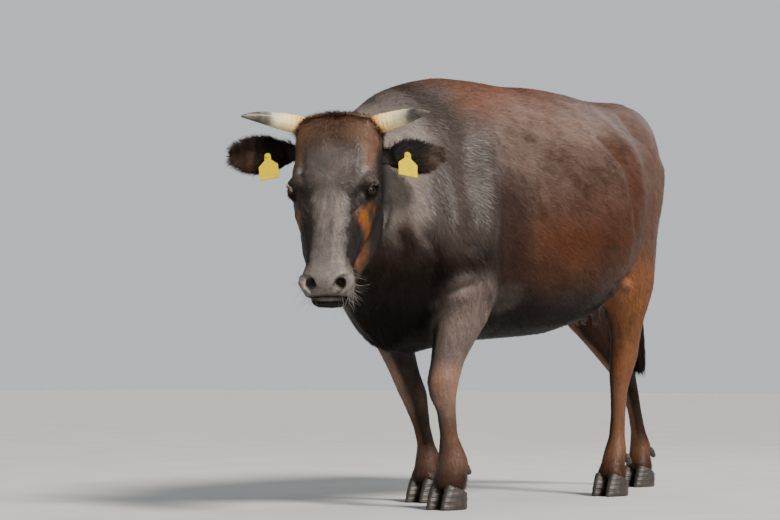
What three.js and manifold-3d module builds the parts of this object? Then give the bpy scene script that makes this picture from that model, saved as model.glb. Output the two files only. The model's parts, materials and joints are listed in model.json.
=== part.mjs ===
// Life-size still model of a horned, dark brown cow in mid stride, its head lowered and turned to its left.
// Millimetres. +Z is up, the cow faces -Y and its left side is +X. The origin is on the floor under the
// middle of the model. The flesh is lofted whole from named stations, then parted into named pieces by
// thin cuts.
import * as THREE from "three";
import { mergeVertices } from "three/addons/utils/BufferGeometryUtils.js";
import Module from "manifold-3d";

// ---- Driving dimensions -------------------------------------------------------------------------------
const GAP = 0.4; // clearance between neighbouring pieces
const WITHERS_Y = -332; // the withers, from which all the stations along the body are measured
const MIDLINE_X = -19; // the body's plane of symmetry
const LOWEST_SOLE_Z = 0;

const CORONET_Z = 66; // height of the hoof's upper rim, under the middle of the foot
const CORONET_SLOPE = 20; // degrees that the rim falls towards the heel
const CLAW_OFFSET = 27.5; // from the foot's middle to the middle of each claw
const FETLOCK_DEWCLAW_Z = 122;

const HEAD = {
  poll: [154, -650, 1149], // top of the skull between the horns: x from the midline, y from the withers, z
  yaw: 28, // degrees turned to the left
  pitch: 17, // degrees that the muzzle is held forward of straight down
};
const HORN_BASE_RADIUS = 28.5;
const EYE = { at: [105, 22, -230], radius: 21 };
const EAR = { root: { "-1": [126, 92, -75], 1: [126, 92, -92] }, length: 200, halfWidth: 64, cup: 30, wall: 11 };
const EAR_BACK = { "-1": 2, 1: 30 }; // degrees that the right and the left ear are turned back
const EAR_DROOP = { "-1": 1, 1: -21 }; // degrees, down at the tip
const TAG = {
  width: 57,
  height: 76,
  neck: 19,
  thickness: 2.2,
  pinRadius: 3,
  alongEar: { "-1": 86, 1: 73 }, // right ear, left ear
  above: { "-1": -15, 1: -8 },
  plumb: { "-1": 9, 1: 17 }, // degrees, so that it hangs nearly straight down
};
const PANEL_Y = -9; // the tag's panel hangs in front of the rim of the ear

const LOOKS = {
  coat: { color: 0x3a2620, roughness: 0.55, metalness: 0 },
  horn: { color: 0xd8c79a, roughness: 0.4, metalness: 0 },
  hoof: { color: 0x4b3d33, roughness: 0.6, metalness: 0 },
  eye: { color: 0x120c0a, roughness: 0.1, metalness: 0 },
  tag: { color: 0xf2e01c, roughness: 0.45, metalness: 0 },
};

// ---- Stations: the sizes that shape each form ------------------------------------------------------------
// Trunk, from breast to buttock. at: distance behind the withers. wide: height of the greatest width.
const TRUNK = [
  { at: -372, top: 1130, low: 650, half: 80, wide: 800, upper: 2, lower: 2 },
  { at: -320, top: 1210, low: 545, half: 158, wide: 820, upper: 2, lower: 1.8 },
  { at: -240, top: 1276, low: 478, half: 226, wide: 845, upper: 2, lower: 1.7 },
  { at: -120, top: 1318, low: 466, half: 270, wide: 865, upper: 2, lower: 1.75 },
  { at: 20, top: 1340, low: 490, half: 292, wide: 880, upper: 2, lower: 1.9 },
  { at: 160, top: 1345, low: 508, half: 315, wide: 880, upper: 2, lower: 2 },
  { at: 320, top: 1342, low: 518, half: 350, wide: 870, upper: 2, lower: 2.15 },
  { at: 480, top: 1354, low: 528, half: 370, wide: 870, upper: 2, lower: 2.2 },
  { at: 620, top: 1351, low: 556, half: 362, wide: 885, upper: 2.05, lower: 2.15 },
  { at: 740, top: 1341, low: 602, half: 324, wide: 930, upper: 2.15, lower: 2.1 },
  { at: 850, top: 1342, low: 656, half: 280, wide: 980, upper: 2.2, lower: 2 },
  { at: 970, top: 1349, low: 724, half: 241, wide: 1030, upper: 2.4, lower: 2 },
  { at: 1080, top: 1344, low: 800, half: 190, wide: 1060, upper: 2.5, lower: 2 },
  { at: 1160, top: 1296, low: 890, half: 126, wide: 1095, upper: 2.4, lower: 2 },
  { at: 1198, top: 1215, low: 985, half: 70, wide: 1110, upper: 2, lower: 2 },
];

// Neck, from inside the chest to inside the head. yaw: degrees that the section is turned to the left.
const NECK = [
  { at: -130, x: 0, yaw: 0, top: 1314, low: 470, half: 226, wide: 860, upper: 1.9, lower: 1.7 },
  { at: -240, x: 2, yaw: 2, top: 1284, low: 480, half: 208, wide: 870, upper: 1.8, lower: 1.5 },
  { at: -340, x: 14, yaw: 7, top: 1232, low: 530, half: 178, wide: 885, upper: 1.7, lower: 1.4 },
  { at: -430, x: 42, yaw: 14, top: 1176, low: 590, half: 150, wide: 895, upper: 1.7, lower: 1.4 },
  { at: -510, x: 76, yaw: 20, top: 1136, low: 650, half: 128, wide: 915, upper: 1.8, lower: 1.6 },
  { at: -580, x: 110, yaw: 25, top: 1110, low: 720, half: 112, wide: 935, upper: 2, lower: 2 },
  { at: -625, x: 134, yaw: 28, top: 1090, low: 800, half: 92, wide: 960, upper: 2, lower: 2 },
];

// Skull and nose, in the head's own frame: at is the distance below the poll, face and back are depths.
const SKULL = [
  { at: -14, half: 88, face: 34, back: 116, front: 2.3, rear: 2 },
  { at: 2, half: 119, face: 6, back: 150, front: 2.5, rear: 2.2 },
  { at: 65, half: 123, face: -12, back: 182, front: 2.8, rear: 2.2 },
  { at: 145, half: 125, face: -24, back: 200, front: 2.8, rear: 2.2 },
  { at: 220, half: 127, face: -30, back: 205, front: 2.6, rear: 2.2 },
  { at: 285, half: 117, face: -27, back: 196, front: 2.2, rear: 2.2 },
  { at: 350, half: 93, face: -20, back: 162, front: 2.1, rear: 2.2 },
  { at: 405, half: 75, face: -14, back: 126, front: 2.2, rear: 2.2 },
  { at: 448, half: 68, face: -12, back: 104, front: 2.5, rear: 2.2 },
  { at: 486, half: 77, face: -13, back: 97, front: 2.7, rear: 2.2 },
  { at: 512, half: 77, face: -4, back: 92, front: 2.6, rear: 2.2 },
  { at: 532, half: 66, face: 18, back: 84, front: 2.2, rear: 2 },
];

// Lower jaw, in the head's frame.
const JAW = [
  { at: 172, half: 104, face: 90, back: 214, front: 2, rear: 2.2 },
  { at: 240, half: 128, face: 90, back: 252, front: 2, rear: 2.4 },
  { at: 310, half: 125, face: 92, back: 256, front: 2, rear: 2.4 },
  { at: 368, half: 108, face: 88, back: 232, front: 2, rear: 2.3 },
  { at: 422, half: 85, face: 76, back: 190, front: 2, rear: 2.2 },
  { at: 482, half: 62, face: 60, back: 146, front: 2, rear: 2.1 },
  { at: 525, half: 58, face: 52, back: 122, front: 2, rear: 2.1 },
  { at: 547, half: 48, face: 60, back: 106, front: 2, rear: 2 },
];

// Legs, top to bottom. x is counted outwards from the midline and y backwards from the withers. fore and aft
// are the radii to the front and the back, half the one to the sides.
const FORELEG_LEFT = [
  { z: 1150, x: 150, y: 20, fore: 110, aft: 120, half: 62 },
  { z: 1000, x: 186, y: -40, fore: 165, aft: 165, half: 98 },
  { z: 860, x: 206, y: -100, fore: 185, aft: 180, half: 104 },
  { z: 750, x: 212, y: -110, fore: 165, aft: 170, half: 96 },
  { z: 665, x: 206, y: -92, fore: 128, aft: 135, half: 84 },
  { z: 584, x: 192, y: -86, fore: 102, aft: 108, half: 72 },
  { z: 511, x: 185, y: -120, fore: 85, aft: 82, half: 61 },
  { z: 445, x: 180, y: -150, fore: 60, aft: 60, half: 52 },
  { z: 385, x: 176, y: -166, fore: 58, aft: 52, half: 51 },
  { z: 340, x: 172, y: -162, fore: 48, aft: 44, half: 43 },
  { z: 296, x: 170, y: -143, fore: 35, aft: 34, half: 32 },
  { z: 225, x: 166, y: -126, fore: 31, aft: 31, half: 29 },
  { z: 182, x: 165, y: -113, fore: 37, aft: 42, half: 39 },
  { z: 142, x: 166, y: -107, fore: 46, aft: 54, half: 51 },
  { z: 104, x: 164, y: -111, fore: 47, aft: 48, half: 52 },
  { z: 72, x: 156, y: -118, fore: 54, aft: 50, half: 52 },
  { z: 34, x: 156, y: -122, fore: 52, aft: 46, half: 50 },
];
const FORELEG_RIGHT = [
  { z: 1150, x: 150, y: 30, fore: 110, aft: 120, half: 62 },
  { z: 1000, x: 186, y: -20, fore: 165, aft: 165, half: 98 },
  { z: 860, x: 204, y: -62, fore: 180, aft: 178, half: 102 },
  { z: 750, x: 204, y: -55, fore: 160, aft: 165, half: 92 },
  { z: 665, x: 192, y: -26, fore: 125, aft: 132, half: 80 },
  { z: 570, x: 166, y: 0, fore: 92, aft: 98, half: 66 },
  { z: 490, x: 146, y: 14, fore: 72, aft: 74, half: 56 },
  { z: 415, x: 136, y: 48, fore: 58, aft: 54, half: 50 },
  { z: 348, x: 130, y: 84, fore: 56, aft: 50, half: 48 },
  { z: 300, x: 128, y: 103, fore: 43, aft: 40, half: 39 },
  { z: 240, x: 127, y: 126, fore: 32, aft: 32, half: 29 },
  { z: 184, x: 126, y: 146, fore: 31, aft: 33, half: 29 },
  { z: 140, x: 126, y: 158, fore: 42, aft: 48, half: 41 },
  { z: 104, x: 126, y: 152, fore: 44, aft: 44, half: 43 },
  { z: 72, x: 126, y: 146, fore: 54, aft: 50, half: 52 },
  { z: 34, x: 126, y: 142, fore: 52, aft: 46, half: 50 },
];
const HINDLEG_LEFT = [
  { z: 1240, x: 110, y: 960, fore: 130, aft: 130, half: 60 },
  { z: 1130, x: 156, y: 935, fore: 190, aft: 166, half: 84 },
  { z: 1000, x: 176, y: 905, fore: 205, aft: 151, half: 94 },
  { z: 880, x: 177, y: 872, fore: 198, aft: 142, half: 92 },
  { z: 780, x: 177, y: 862, fore: 174, aft: 143, half: 87 },
  { z: 700, x: 176, y: 860, fore: 132, aft: 143, half: 80 },
  { z: 640, x: 171, y: 860, fore: 98, aft: 126, half: 69 },
  { z: 580, x: 169, y: 864, fore: 70, aft: 92, half: 57 },
  { z: 525, x: 163, y: 870, fore: 54, aft: 82, half: 48 },
  { z: 465, x: 158, y: 872, fore: 54, aft: 72, half: 46 },
  { z: 405, x: 154, y: 862, fore: 46, aft: 50, half: 40 },
  { z: 350, x: 152, y: 854, fore: 35, aft: 37, half: 32 },
  { z: 275, x: 150, y: 852, fore: 30, aft: 31, half: 27 },
  { z: 200, x: 148, y: 847, fore: 31, aft: 33, half: 28 },
  { z: 145, x: 146, y: 838, fore: 40, aft: 46, half: 39 },
  { z: 104, x: 145, y: 826, fore: 42, aft: 42, half: 41 },
  { z: 72, x: 144, y: 816, fore: 52, aft: 48, half: 50 },
  { z: 34, x: 144, y: 810, fore: 50, aft: 44, half: 48 },
];
const HINDLEG_RIGHT = [
  { z: 1240, x: 110, y: 970, fore: 130, aft: 130, half: 60 },
  { z: 1130, x: 158, y: 960, fore: 195, aft: 190, half: 92 },
  { z: 1000, x: 188, y: 950, fore: 222, aft: 208, half: 106 },
  { z: 880, x: 195, y: 955, fore: 205, aft: 205, half: 104 },
  { z: 780, x: 188, y: 985, fore: 185, aft: 185, half: 92 },
  { z: 700, x: 176, y: 1030, fore: 165, aft: 165, half: 80 },
  { z: 640, x: 162, y: 1080, fore: 148, aft: 145, half: 68 },
  { z: 580, x: 148, y: 1140, fore: 132, aft: 130, half: 57 },
  { z: 525, x: 138, y: 1202, fore: 118, aft: 132, half: 49 },
  { z: 465, x: 128, y: 1268, fore: 102, aft: 108, half: 46 },
  { z: 405, x: 121, y: 1320, fore: 74, aft: 64, half: 40 },
  { z: 345, x: 115, y: 1352, fore: 42, aft: 40, half: 33 },
  { z: 270, x: 110, y: 1376, fore: 31, aft: 31, half: 27 },
  { z: 200, x: 107, y: 1394, fore: 31, aft: 33, half: 28 },
  { z: 145, x: 105, y: 1406, fore: 40, aft: 46, half: 39 },
  { z: 104, x: 104, y: 1398, fore: 42, aft: 42, half: 41 },
  { z: 72, x: 103, y: 1389, fore: 52, aft: 48, half: 50 },
  { z: 34, x: 103, y: 1384, fore: 50, aft: 44, half: 48 },
];

// One claw, from the sole up, about the claw's own middle.
const CLAW = [
  { z: 0, fore: 66, aft: 50, half: 25 },
  { z: 30, fore: 57, aft: 52, half: 26 },
  { z: 75, fore: 36, aft: 50, half: 25 },
  { z: 104, fore: 24, aft: 48, half: 23 },
];

const deg = THREE.MathUtils.degToRad;
const onBody = (x, y, z) => new THREE.Vector3(MIDLINE_X + x, WITHERS_Y + y, z);

// ---- Lofting ---------------------------------------------------------------------------------------------
// A closed section about centre: radii along +across, -across, +over and -over. Squareness 2 is an ellipse.
function section(count, centre, across, over, radii, squares) {
  const ring = [];
  for (let k = 0; k < count; k++) {
    const a = (2 * Math.PI * (k + 0.5)) / count;
    const [c, s] = [Math.cos(a), Math.sin(a)];
    const power = 2 / (s > 0 ? squares.plus : squares.minus);
    const u = Math.sign(c) * Math.abs(c) ** power * (c > 0 ? radii.left : radii.right);
    const v = Math.sign(s) * Math.abs(s) ** power * (s > 0 ? radii.plus : radii.minus);
    const narrowed = 1 - (radii.taper ?? 0) * Math.max(0, s);
    ring.push(centre.clone().addScaledVector(across, u * narrowed).addScaledVector(over, v));
  }
  return ring;
}

// One closed skin over a run of rings, with a fan at each end.
function skinOver(rings) {
  const count = rings[0].length;
  const ends = [rings[0], rings.at(-1)].map((ring) =>
    ring.reduce((sum, p) => sum.add(p), new THREE.Vector3()).divideScalar(count),
  );
  const points = [...rings.flat(), ...ends];
  const [first, last] = [points.length - 2, points.length - 1];
  const index = [];
  for (let r = 0; r + 1 < rings.length; r++)
    for (let k = 0; k < count; k++) {
      const [a, b] = [r * count + k, r * count + ((k + 1) % count)];
      index.push(a, b, b + count, a, b + count, a + count);
    }
  const top = (rings.length - 1) * count;
  for (let k = 0; k < count; k++) {
    const next = (k + 1) % count;
    index.push(first, next, k, last, top + k, top + next);
  }
  const geometry = new THREE.BufferGeometry().setFromPoints(points);
  geometry.setIndex(index);
  return geometry;
}

// A tapering round horn, tail or teat along a curve.
function taperAlong(curve, radiusAt, steps, around) {
  const frames = curve.computeFrenetFrames(steps, false);
  const rings = [];
  for (let k = 0; k <= steps; k++) {
    const r = radiusAt(k / steps);
    const radii = { left: r, right: r, plus: r, minus: r };
    const squares = { plus: 2, minus: 2 };
    const centre = curve.getPointAt(k / steps);
    rings.push(section(around, centre, frames.normals[k], frames.binormals[k], radii, squares));
  }
  return skinOver(rings);
}

// ---- Solids ----------------------------------------------------------------------------------------------
const wasm = await Module();
wasm.setup();

// A closed geometry as a solid, turned the right way out.
function solid(geometry) {
  const bare = new THREE.BufferGeometry();
  bare.setAttribute("position", geometry.getAttribute("position"));
  if (geometry.index) bare.setIndex(geometry.index);
  const merged = mergeVertices(bare, 1e-3);
  const triVerts = new Uint32Array(merged.index.array);
  const vertProperties = merged.attributes.position.array;
  const made = new wasm.Manifold(new wasm.Mesh({ numProp: 3, vertProperties, triVerts }));
  if (made.volume() > 0) return made;
  for (let i = 0; i < triVerts.length; i += 3) triVerts.subarray(i, i + 3).reverse();
  return new wasm.Manifold(new wasm.Mesh({ numProp: 3, vertProperties, triVerts }));
}

function joined(...solids) {
  return solids.reduce((all, one) => all.add(one));
}

// The largest body of a solid, for a cut that may leave slivers.
function largest(made) {
  return made.decompose().reduce((best, one) => (one.volume() > best.volume() ? one : best));
}

function ellipsoid(centre, radii, turn = new THREE.Euler(), detail = 10) {
  const geometry = new THREE.SphereGeometry(1, detail, Math.round(detail * 0.7)).scale(...radii);
  geometry.applyQuaternion(new THREE.Quaternion().setFromEuler(turn));
  return solid(geometry.translate(centre.x, centre.y, centre.z));
}

// A block about the origin of a frame, for parting the flesh.
function block(frame, size) {
  return solid(new THREE.BoxGeometry(...size).applyMatrix4(frame));
}

// A frame at a place, turned in degrees about x, y and z.
function frameAt(place, x = 0, y = 0, z = 0) {
  const turned = new THREE.Matrix4().makeRotationFromEuler(new THREE.Euler(deg(x), deg(y), deg(z)));
  return turned.setPosition(place);
}

// A frame moved to a point given in its own axes.
function within(frame, x, y, z) {
  return frame.clone().multiply(new THREE.Matrix4().setPosition(x, y, z));
}

// ---- The head's frame ------------------------------------------------------------------------------------
// x is towards the cow's left ear, y from the face to the nape, z up from the muzzle to the poll.
const headFrame = new THREE.Matrix4().compose(
  onBody(...HEAD.poll),
  new THREE.Quaternion().setFromEuler(new THREE.Euler(-deg(HEAD.pitch), 0, deg(HEAD.yaw), "ZYX")),
  new THREE.Vector3(1, 1, 1),
);
const onHead = (x, y, z) => new THREE.Vector3(x, y, z).applyMatrix4(headFrame);
const headTurn = new THREE.Euler().setFromRotationMatrix(headFrame);

function headLoft(stations, around) {
  const across = new THREE.Vector3(1, 0, 0).transformDirection(headFrame);
  const back = new THREE.Vector3(0, 1, 0).transformDirection(headFrame);
  const rings = stations.map((s) => {
    const depth = (s.back - s.face) / 2;
    const centre = onHead(0, s.face + depth, -s.at);
    const radii = { left: s.half, right: s.half, plus: depth, minus: depth };
    return section(around, centre, across, back, radii, { plus: s.rear, minus: s.front });
  });
  return solid(skinOver(rings));
}

// ---- Flesh forms -----------------------------------------------------------------------------------------
const ACROSS = new THREE.Vector3(1, 0, 0);
const BACKWARDS = new THREE.Vector3(0, 1, 0);
const FORWARDS = new THREE.Vector3(0, -1, 0);
const UP = new THREE.Vector3(0, 0, 1);

function trunkForm() {
  const rings = TRUNK.map((s) => {
    const radii = { left: s.half, right: s.half, plus: s.top - s.wide, minus: s.wide - s.low };
    return section(26, onBody(0, s.at, s.wide), ACROSS, UP, radii, { plus: s.upper, minus: s.lower });
  });
  return solid(skinOver(rings));
}

function neckForm() {
  const rings = NECK.map((s) => {
    const across = ACROSS.clone().applyAxisAngle(UP, deg(s.yaw));
    const radii = { left: s.half, right: s.half, plus: s.top - s.wide, minus: s.wide - s.low };
    return section(22, onBody(s.x, s.at, s.wide), across, UP, radii, { plus: s.upper, minus: s.lower });
  });
  return solid(skinOver(rings));
}

function headForm() {
  const brows = [-1, 1].map((side) => ellipsoid(onHead(side * 92, 32, -214), [32, 36, 38], headTurn, 8));
  return joined(headLoft(SKULL, 20), headLoft(JAW, 14), ...brows);
}

function legForm(stations, side) {
  const rings = stations.map((s) => {
    const radii = { left: s.half, right: s.half, plus: s.aft, minus: s.fore };
    return section(12, onBody(side * s.x, s.y, s.z), ACROSS, BACKWARDS, radii, { plus: 2, minus: 2.2 });
  });
  return solid(skinOver(rings));
}

// The tail hangs from its head between the pin bones, and its switch of hair is lofted with it.
const TAIL_PATH = [
  [0, 1060, 1322],
  [0, 1135, 1312],
  [2, 1186, 1262],
  [4, 1204, 1160],
  [8, 1196, 1020],
  [14, 1180, 880],
  [22, 1172, 740],
  [30, 1170, 600],
  [36, 1174, 480],
  [40, 1178, 425],
];
const TAIL_RADII = [34, 33, 29, 24, 20, 18, 24, 30, 22, 5];

function tailForm() {
  const curve = new THREE.CatmullRomCurve3(TAIL_PATH.map((p) => onBody(...p)), false, "centripetal");
  const radii = new THREE.SplineCurve(TAIL_RADII.map((r, i) => new THREE.Vector2(i, r)));
  return solid(taperAlong(curve, (u) => radii.getPoint(u).y, 13, 7));
}

function udderForm() {
  const bag = ellipsoid(onBody(0, 850, 680), [82, 120, 76], new THREE.Euler(deg(-10), 0, 0));
  const teats = [];
  for (const side of [-1, 1])
    for (const y of [806, 886]) {
      const path = new THREE.CatmullRomCurve3([
        onBody(side * 38, y, 640),
        onBody(side * 40, y - 2, 606),
        onBody(side * 42, y - 5, 578),
      ]);
      teats.push(solid(taperAlong(path, (u) => 13 - 4 * u * u, 2, 6)));
    }
  return joined(bag, ...teats);
}

// A cupped leaf that opens to the front of the head: outer arc at the back, inner arc one wall inside it.
const EAR_STATIONS = [
  { at: -0.22, width: 0.36, cup: 0.75 },
  { at: 0.06, width: 0.42, cup: 0.85 },
  { at: 0.2, width: 0.74, cup: 1.0 },
  { at: 0.4, width: 0.97, cup: 0.95 },
  { at: 0.6, width: 1.0, cup: 0.8 },
  { at: 0.8, width: 0.84, cup: 0.62 },
  { at: 0.94, width: 0.56, cup: 0.46 },
  { at: 1.0, width: 0.28, cup: 0.36 },
];
const EAR_TWIST = -6; // degrees

// The ear's frame: x out along the ear, y towards its back, z across it, upwards.
function earFrame(side) {
  const outward = new THREE.Matrix4().makeBasis(
    new THREE.Vector3(side, 0, 0),
    new THREE.Vector3(0, 1, 0),
    new THREE.Vector3(0, 0, 1),
  );
  const turn = new THREE.Euler(deg(EAR_TWIST), deg(EAR_DROOP[side]), deg(EAR_BACK[side]));
  const [x, y, z] = EAR.root[side];
  const root = onHead(side * x, y, z);
  return new THREE.Matrix4()
    .setPosition(root)
    .multiply(new THREE.Matrix4().extractRotation(headFrame))
    .multiply(outward)
    .multiply(new THREE.Matrix4().makeRotationFromEuler(turn));
}

function earForm(side) {
  const frame = earFrame(side);
  const around = 9;
  const rings = EAR_STATIONS.map((s) => {
    const along = s.at * EAR.length;
    const half = s.width * EAR.halfWidth;
    const depth = s.cup * EAR.cup;
    const hollow = Math.max(0, depth - EAR.wall * (s.at < 0.1 ? 3 : 1));
    const angles = Array.from({ length: around }, (_, k) => (Math.PI * k) / (around - 1));
    const outer = angles.map((a) => new THREE.Vector3(along, depth * Math.sin(a), half * Math.cos(a)));
    const inner = angles
      .slice(1, -1)
      .reverse()
      .map((a) => new THREE.Vector3(along, hollow * Math.sin(a) - 2, (half - EAR.wall / 2) * Math.cos(a)));
    return [...outer, ...inner].map((p) => p.applyMatrix4(frame));
  });
  return solid(skinOver(rings));
}

// ---- Horns, eyes, claws and tags -------------------------------------------------------------------------
const HORN_PATH = [
  [74, 66, -17],
  [118, 60, -6],
  [162, 48, 0],
  [208, 26, 3],
  [248, 0, -1],
  [276, -22, -10],
];

function horn(side, grown = 0) {
  const curve = new THREE.CatmullRomCurve3(HORN_PATH.map(([x, y, z]) => onHead(side * x, y, z)));
  const radiusAt = (u) => grown + HORN_BASE_RADIUS * (1 - 0.08 * u - 0.84 * u ** 2.6);
  return solid(taperAlong(curve, radiusAt, 9, 11));
}

function eye(side, grown = 0) {
  const [x, y, z] = EYE.at;
  const r = EYE.radius + grown;
  return ellipsoid(onHead(side * x, y, z), [r, r, r], headTurn, 10);
}

// The plane of the coronet, as a block that covers everything above it by the given clearance.
function aboveCoronet(foot, clearance) {
  const plane = frameAt(new THREE.Vector3(foot.x, foot.y, CORONET_Z), -CORONET_SLOPE);
  return block(within(plane, 0, 0, 150 + clearance), [260, 260, 300]);
}

function claw(foot, side) {
  const rings = CLAW.map((s) => {
    const centre = new THREE.Vector3(foot.x + side * CLAW_OFFSET, foot.y, LOWEST_SOLE_Z + s.z);
    const radii = { left: s.half, right: s.half, plus: s.fore, minus: s.aft, taper: 0.34 };
    return section(12, centre, ACROSS, FORWARDS, radii, { plus: 2.3, minus: 2.6 });
  });
  return solid(skinOver(rings)).subtract(aboveCoronet(foot, 0));
}

function dewclaw(foot, fetlock, side, grown = 0) {
  const root = new THREE.Vector3(fetlock.x + side * 21, fetlock.y + 26, FETLOCK_DEWCLAW_Z + 12);
  const tip = new THREE.Vector3(fetlock.x + side * 24, fetlock.y + 56, FETLOCK_DEWCLAW_Z - 16);
  const curve = new THREE.LineCurve3(root, tip);
  return solid(taperAlong(curve, (u) => grown + 15 - 7 * u * u, 2, 7));
}

function tag(side, grown = 0) {
  const { width, height, neck, thickness, pinRadius } = TAG;
  const outline = new THREE.Shape();
  outline.moveTo(-neck / 2, 0);
  outline.lineTo(-neck / 2, -height * 0.18);
  outline.lineTo(-width / 2, -height * 0.42);
  outline.lineTo(-width / 2, -height);
  outline.lineTo(width / 2, -height);
  outline.lineTo(width / 2, -height * 0.42);
  outline.lineTo(neck / 2, -height * 0.18);
  outline.lineTo(neck / 2, 0);
  outline.absarc(0, 0, neck / 2, 0, Math.PI, false);
  const cut = { depth: thickness, bevelEnabled: false, curveSegments: 4 };
  const panel = new THREE.ExtrudeGeometry(outline, cut);
  panel.rotateX(Math.PI / 2).translate(0, PANEL_Y + thickness / 2, 0); // hangs along -z and faces -y
  const back = EAR.cup + 4;
  const pin = new THREE.CylinderGeometry(pinRadius + grown, pinRadius + grown, back - PANEL_Y, 6);
  pin.translate(0, (back + PANEL_Y) / 2, 0);
  const button = new THREE.CylinderGeometry(13, 13, 3, 12).translate(0, back, 0);
  const stud = new THREE.CylinderGeometry(7, 7, 4, 8).translate(0, PANEL_Y - 2, 0);
  const hole = new THREE.Vector3(TAG.alongEar[side], 0, TAG.above[side]).applyMatrix4(earFrame(side));
  const frame = earFrame(side).setPosition(hole);
  const plumb = new THREE.Matrix4().makeRotationY(deg(TAG.plumb[side]));
  const pieces = grown ? [pin] : [pin, button, stud, panel.applyMatrix4(plumb)];
  return joined(...pieces.map((piece) => solid(piece.applyMatrix4(frame))));
}

// ---- Assembly --------------------------------------------------------------------------------------------
const cow = new THREE.Group();
cow.name = "cow";

function place(name, made, look) {
  const { vertProperties, triVerts, numProp } = made.getMesh();
  const count = vertProperties.length / numProp;
  const points = new Float32Array(count * 3);
  for (let i = 0; i < count; i++) points.set(vertProperties.subarray(i * numProp, i * numProp + 3), i * 3);
  const geometry = new THREE.BufferGeometry();
  geometry.setAttribute("position", new THREE.BufferAttribute(points, 3));
  geometry.setIndex(new THREE.BufferAttribute(triVerts, 1));
  const mesh = new THREE.Mesh(geometry, new THREE.MeshStandardMaterial(LOOKS[look]));
  mesh.name = name;
  cow.add(mesh);
}

const LEGS = {
  foreleg_left: { stations: FORELEG_LEFT, side: 1 },
  foreleg_right: { stations: FORELEG_RIGHT, side: -1 },
  hindleg_left: { stations: HINDLEG_LEFT, side: 1 },
  hindleg_right: { stations: HINDLEG_RIGHT, side: -1 },
};

let flesh = joined(trunkForm(), neckForm(), headForm(), tailForm(), udderForm());
for (const { stations, side } of Object.values(LEGS)) flesh = flesh.add(legForm(stations, side));
for (const side of [-1, 1]) flesh = flesh.add(earForm(side));
for (const side of [-1, 1]) {
  flesh = flesh.subtract(horn(side, GAP)).subtract(eye(side, GAP)).subtract(tag(side, GAP));
  place(side > 0 ? "horn_left" : "horn_right", horn(side), "horn");
  place(side > 0 ? "eye_left" : "eye_right", eye(side), "eye");
  place(side > 0 ? "ear_tag_left" : "ear_tag_right", tag(side), "tag");
}

for (const [name, { stations, side }] of Object.entries(LEGS)) {
  const low = stations.at(-1);
  const ankle = stations.find((s) => s.z < 150);
  const foot = onBody(side * low.x, low.y, 0);
  const fetlock = onBody(side * ankle.x, ankle.y, ankle.z);
  const hoof = name.replace("leg", "hoof");
  const below = block(frameAt(foot), [220, 260, 300]);
  flesh = flesh.subtract(below.subtract(aboveCoronet(foot, GAP)));
  for (const half of [-1, 1]) {
    const which = half === side ? "outer" : "inner";
    flesh = flesh.subtract(dewclaw(foot, fetlock, half, GAP));
    place(`${hoof}_${which}`, claw(foot, half), "hoof");
    place(`${hoof}_dewclaw_${which}`, dewclaw(foot, fetlock, half), "hoof");
  }
}

// Parts one named piece off the flesh. region makes the piece's own room, grown by a clearance.
function part(name, region) {
  place(name, largest(flesh.intersect(region(0))), "coat");
  flesh = flesh.subtract(region(GAP));
}

const boxRegion = (frame, size) => (grown) => block(frame, size.map((length) => length + 2 * grown));

// Everything under a sloping plane through a point, on one side of the body and between two distances.
const underPlane = (side, inner, through, slope, from, to) => (grown) => {
  const [width, depth] = [560, to - from];
  const middle = onBody(side * (inner + width / 2), (from + to) / 2, through[2]);
  const room = block(frameAt(middle), [width + 2 * grown, depth + 2 * grown, 1500]);
  const point = onBody(side * through[0], through[1], through[2]);
  const above = within(frameAt(point, slope.rearwards, -side * slope.outwards), 0, 0, 1000 + grown);
  return room.subtract(block(above, [2400, 2400, 2000]));
};

const FORE_SLOPE = { outwards: 50, rearwards: -12 };
const HIND_SLOPE = { outwards: 12, rearwards: 24 };
for (const side of [-1, 1]) {
  part(side > 0 ? "ear_left" : "ear_right", boxRegion(within(earFrame(side), 170, 10, 0), [300, 120, 170]));
}
part("head", boxRegion(within(headFrame, 0, -70, -280), [420, 520, 720]));
part("udder", boxRegion(frameAt(onBody(0, 850, 580)), [180, 290, 200]));
part("foreleg_left", underPlane(1, 30, [190, -90, 580], FORE_SLOPE, -340, 70));
part("foreleg_right", underPlane(-1, 30, [165, 0, 570], FORE_SLOPE, -260, 240));
part("hindleg_left", underPlane(1, 46, [190, 862, 705], HIND_SLOPE, 650, 1160));
part("hindleg_right", underPlane(-1, 46, [180, 1000, 735], HIND_SLOPE, 700, 1560));
part("tail", boxRegion(frameAt(onBody(20, 1310, 760)), [150, 300, 1300]));
part("neck", boxRegion(frameAt(onBody(60, -680, 880), -14, 0, 6), [700, 720, 1200]));
place("trunk", largest(flesh), "coat");

export default cow;
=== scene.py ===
"""A brown horned cow at life size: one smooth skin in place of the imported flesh, a coat of solid tufts
over it, and finishes for the eyes, horns, claws and tags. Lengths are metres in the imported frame, where
the cow faces -Y and its left side is +X. Places on the head are millimetres in the head's own frame, and
colours are in linear light."""
import json
import math

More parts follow.
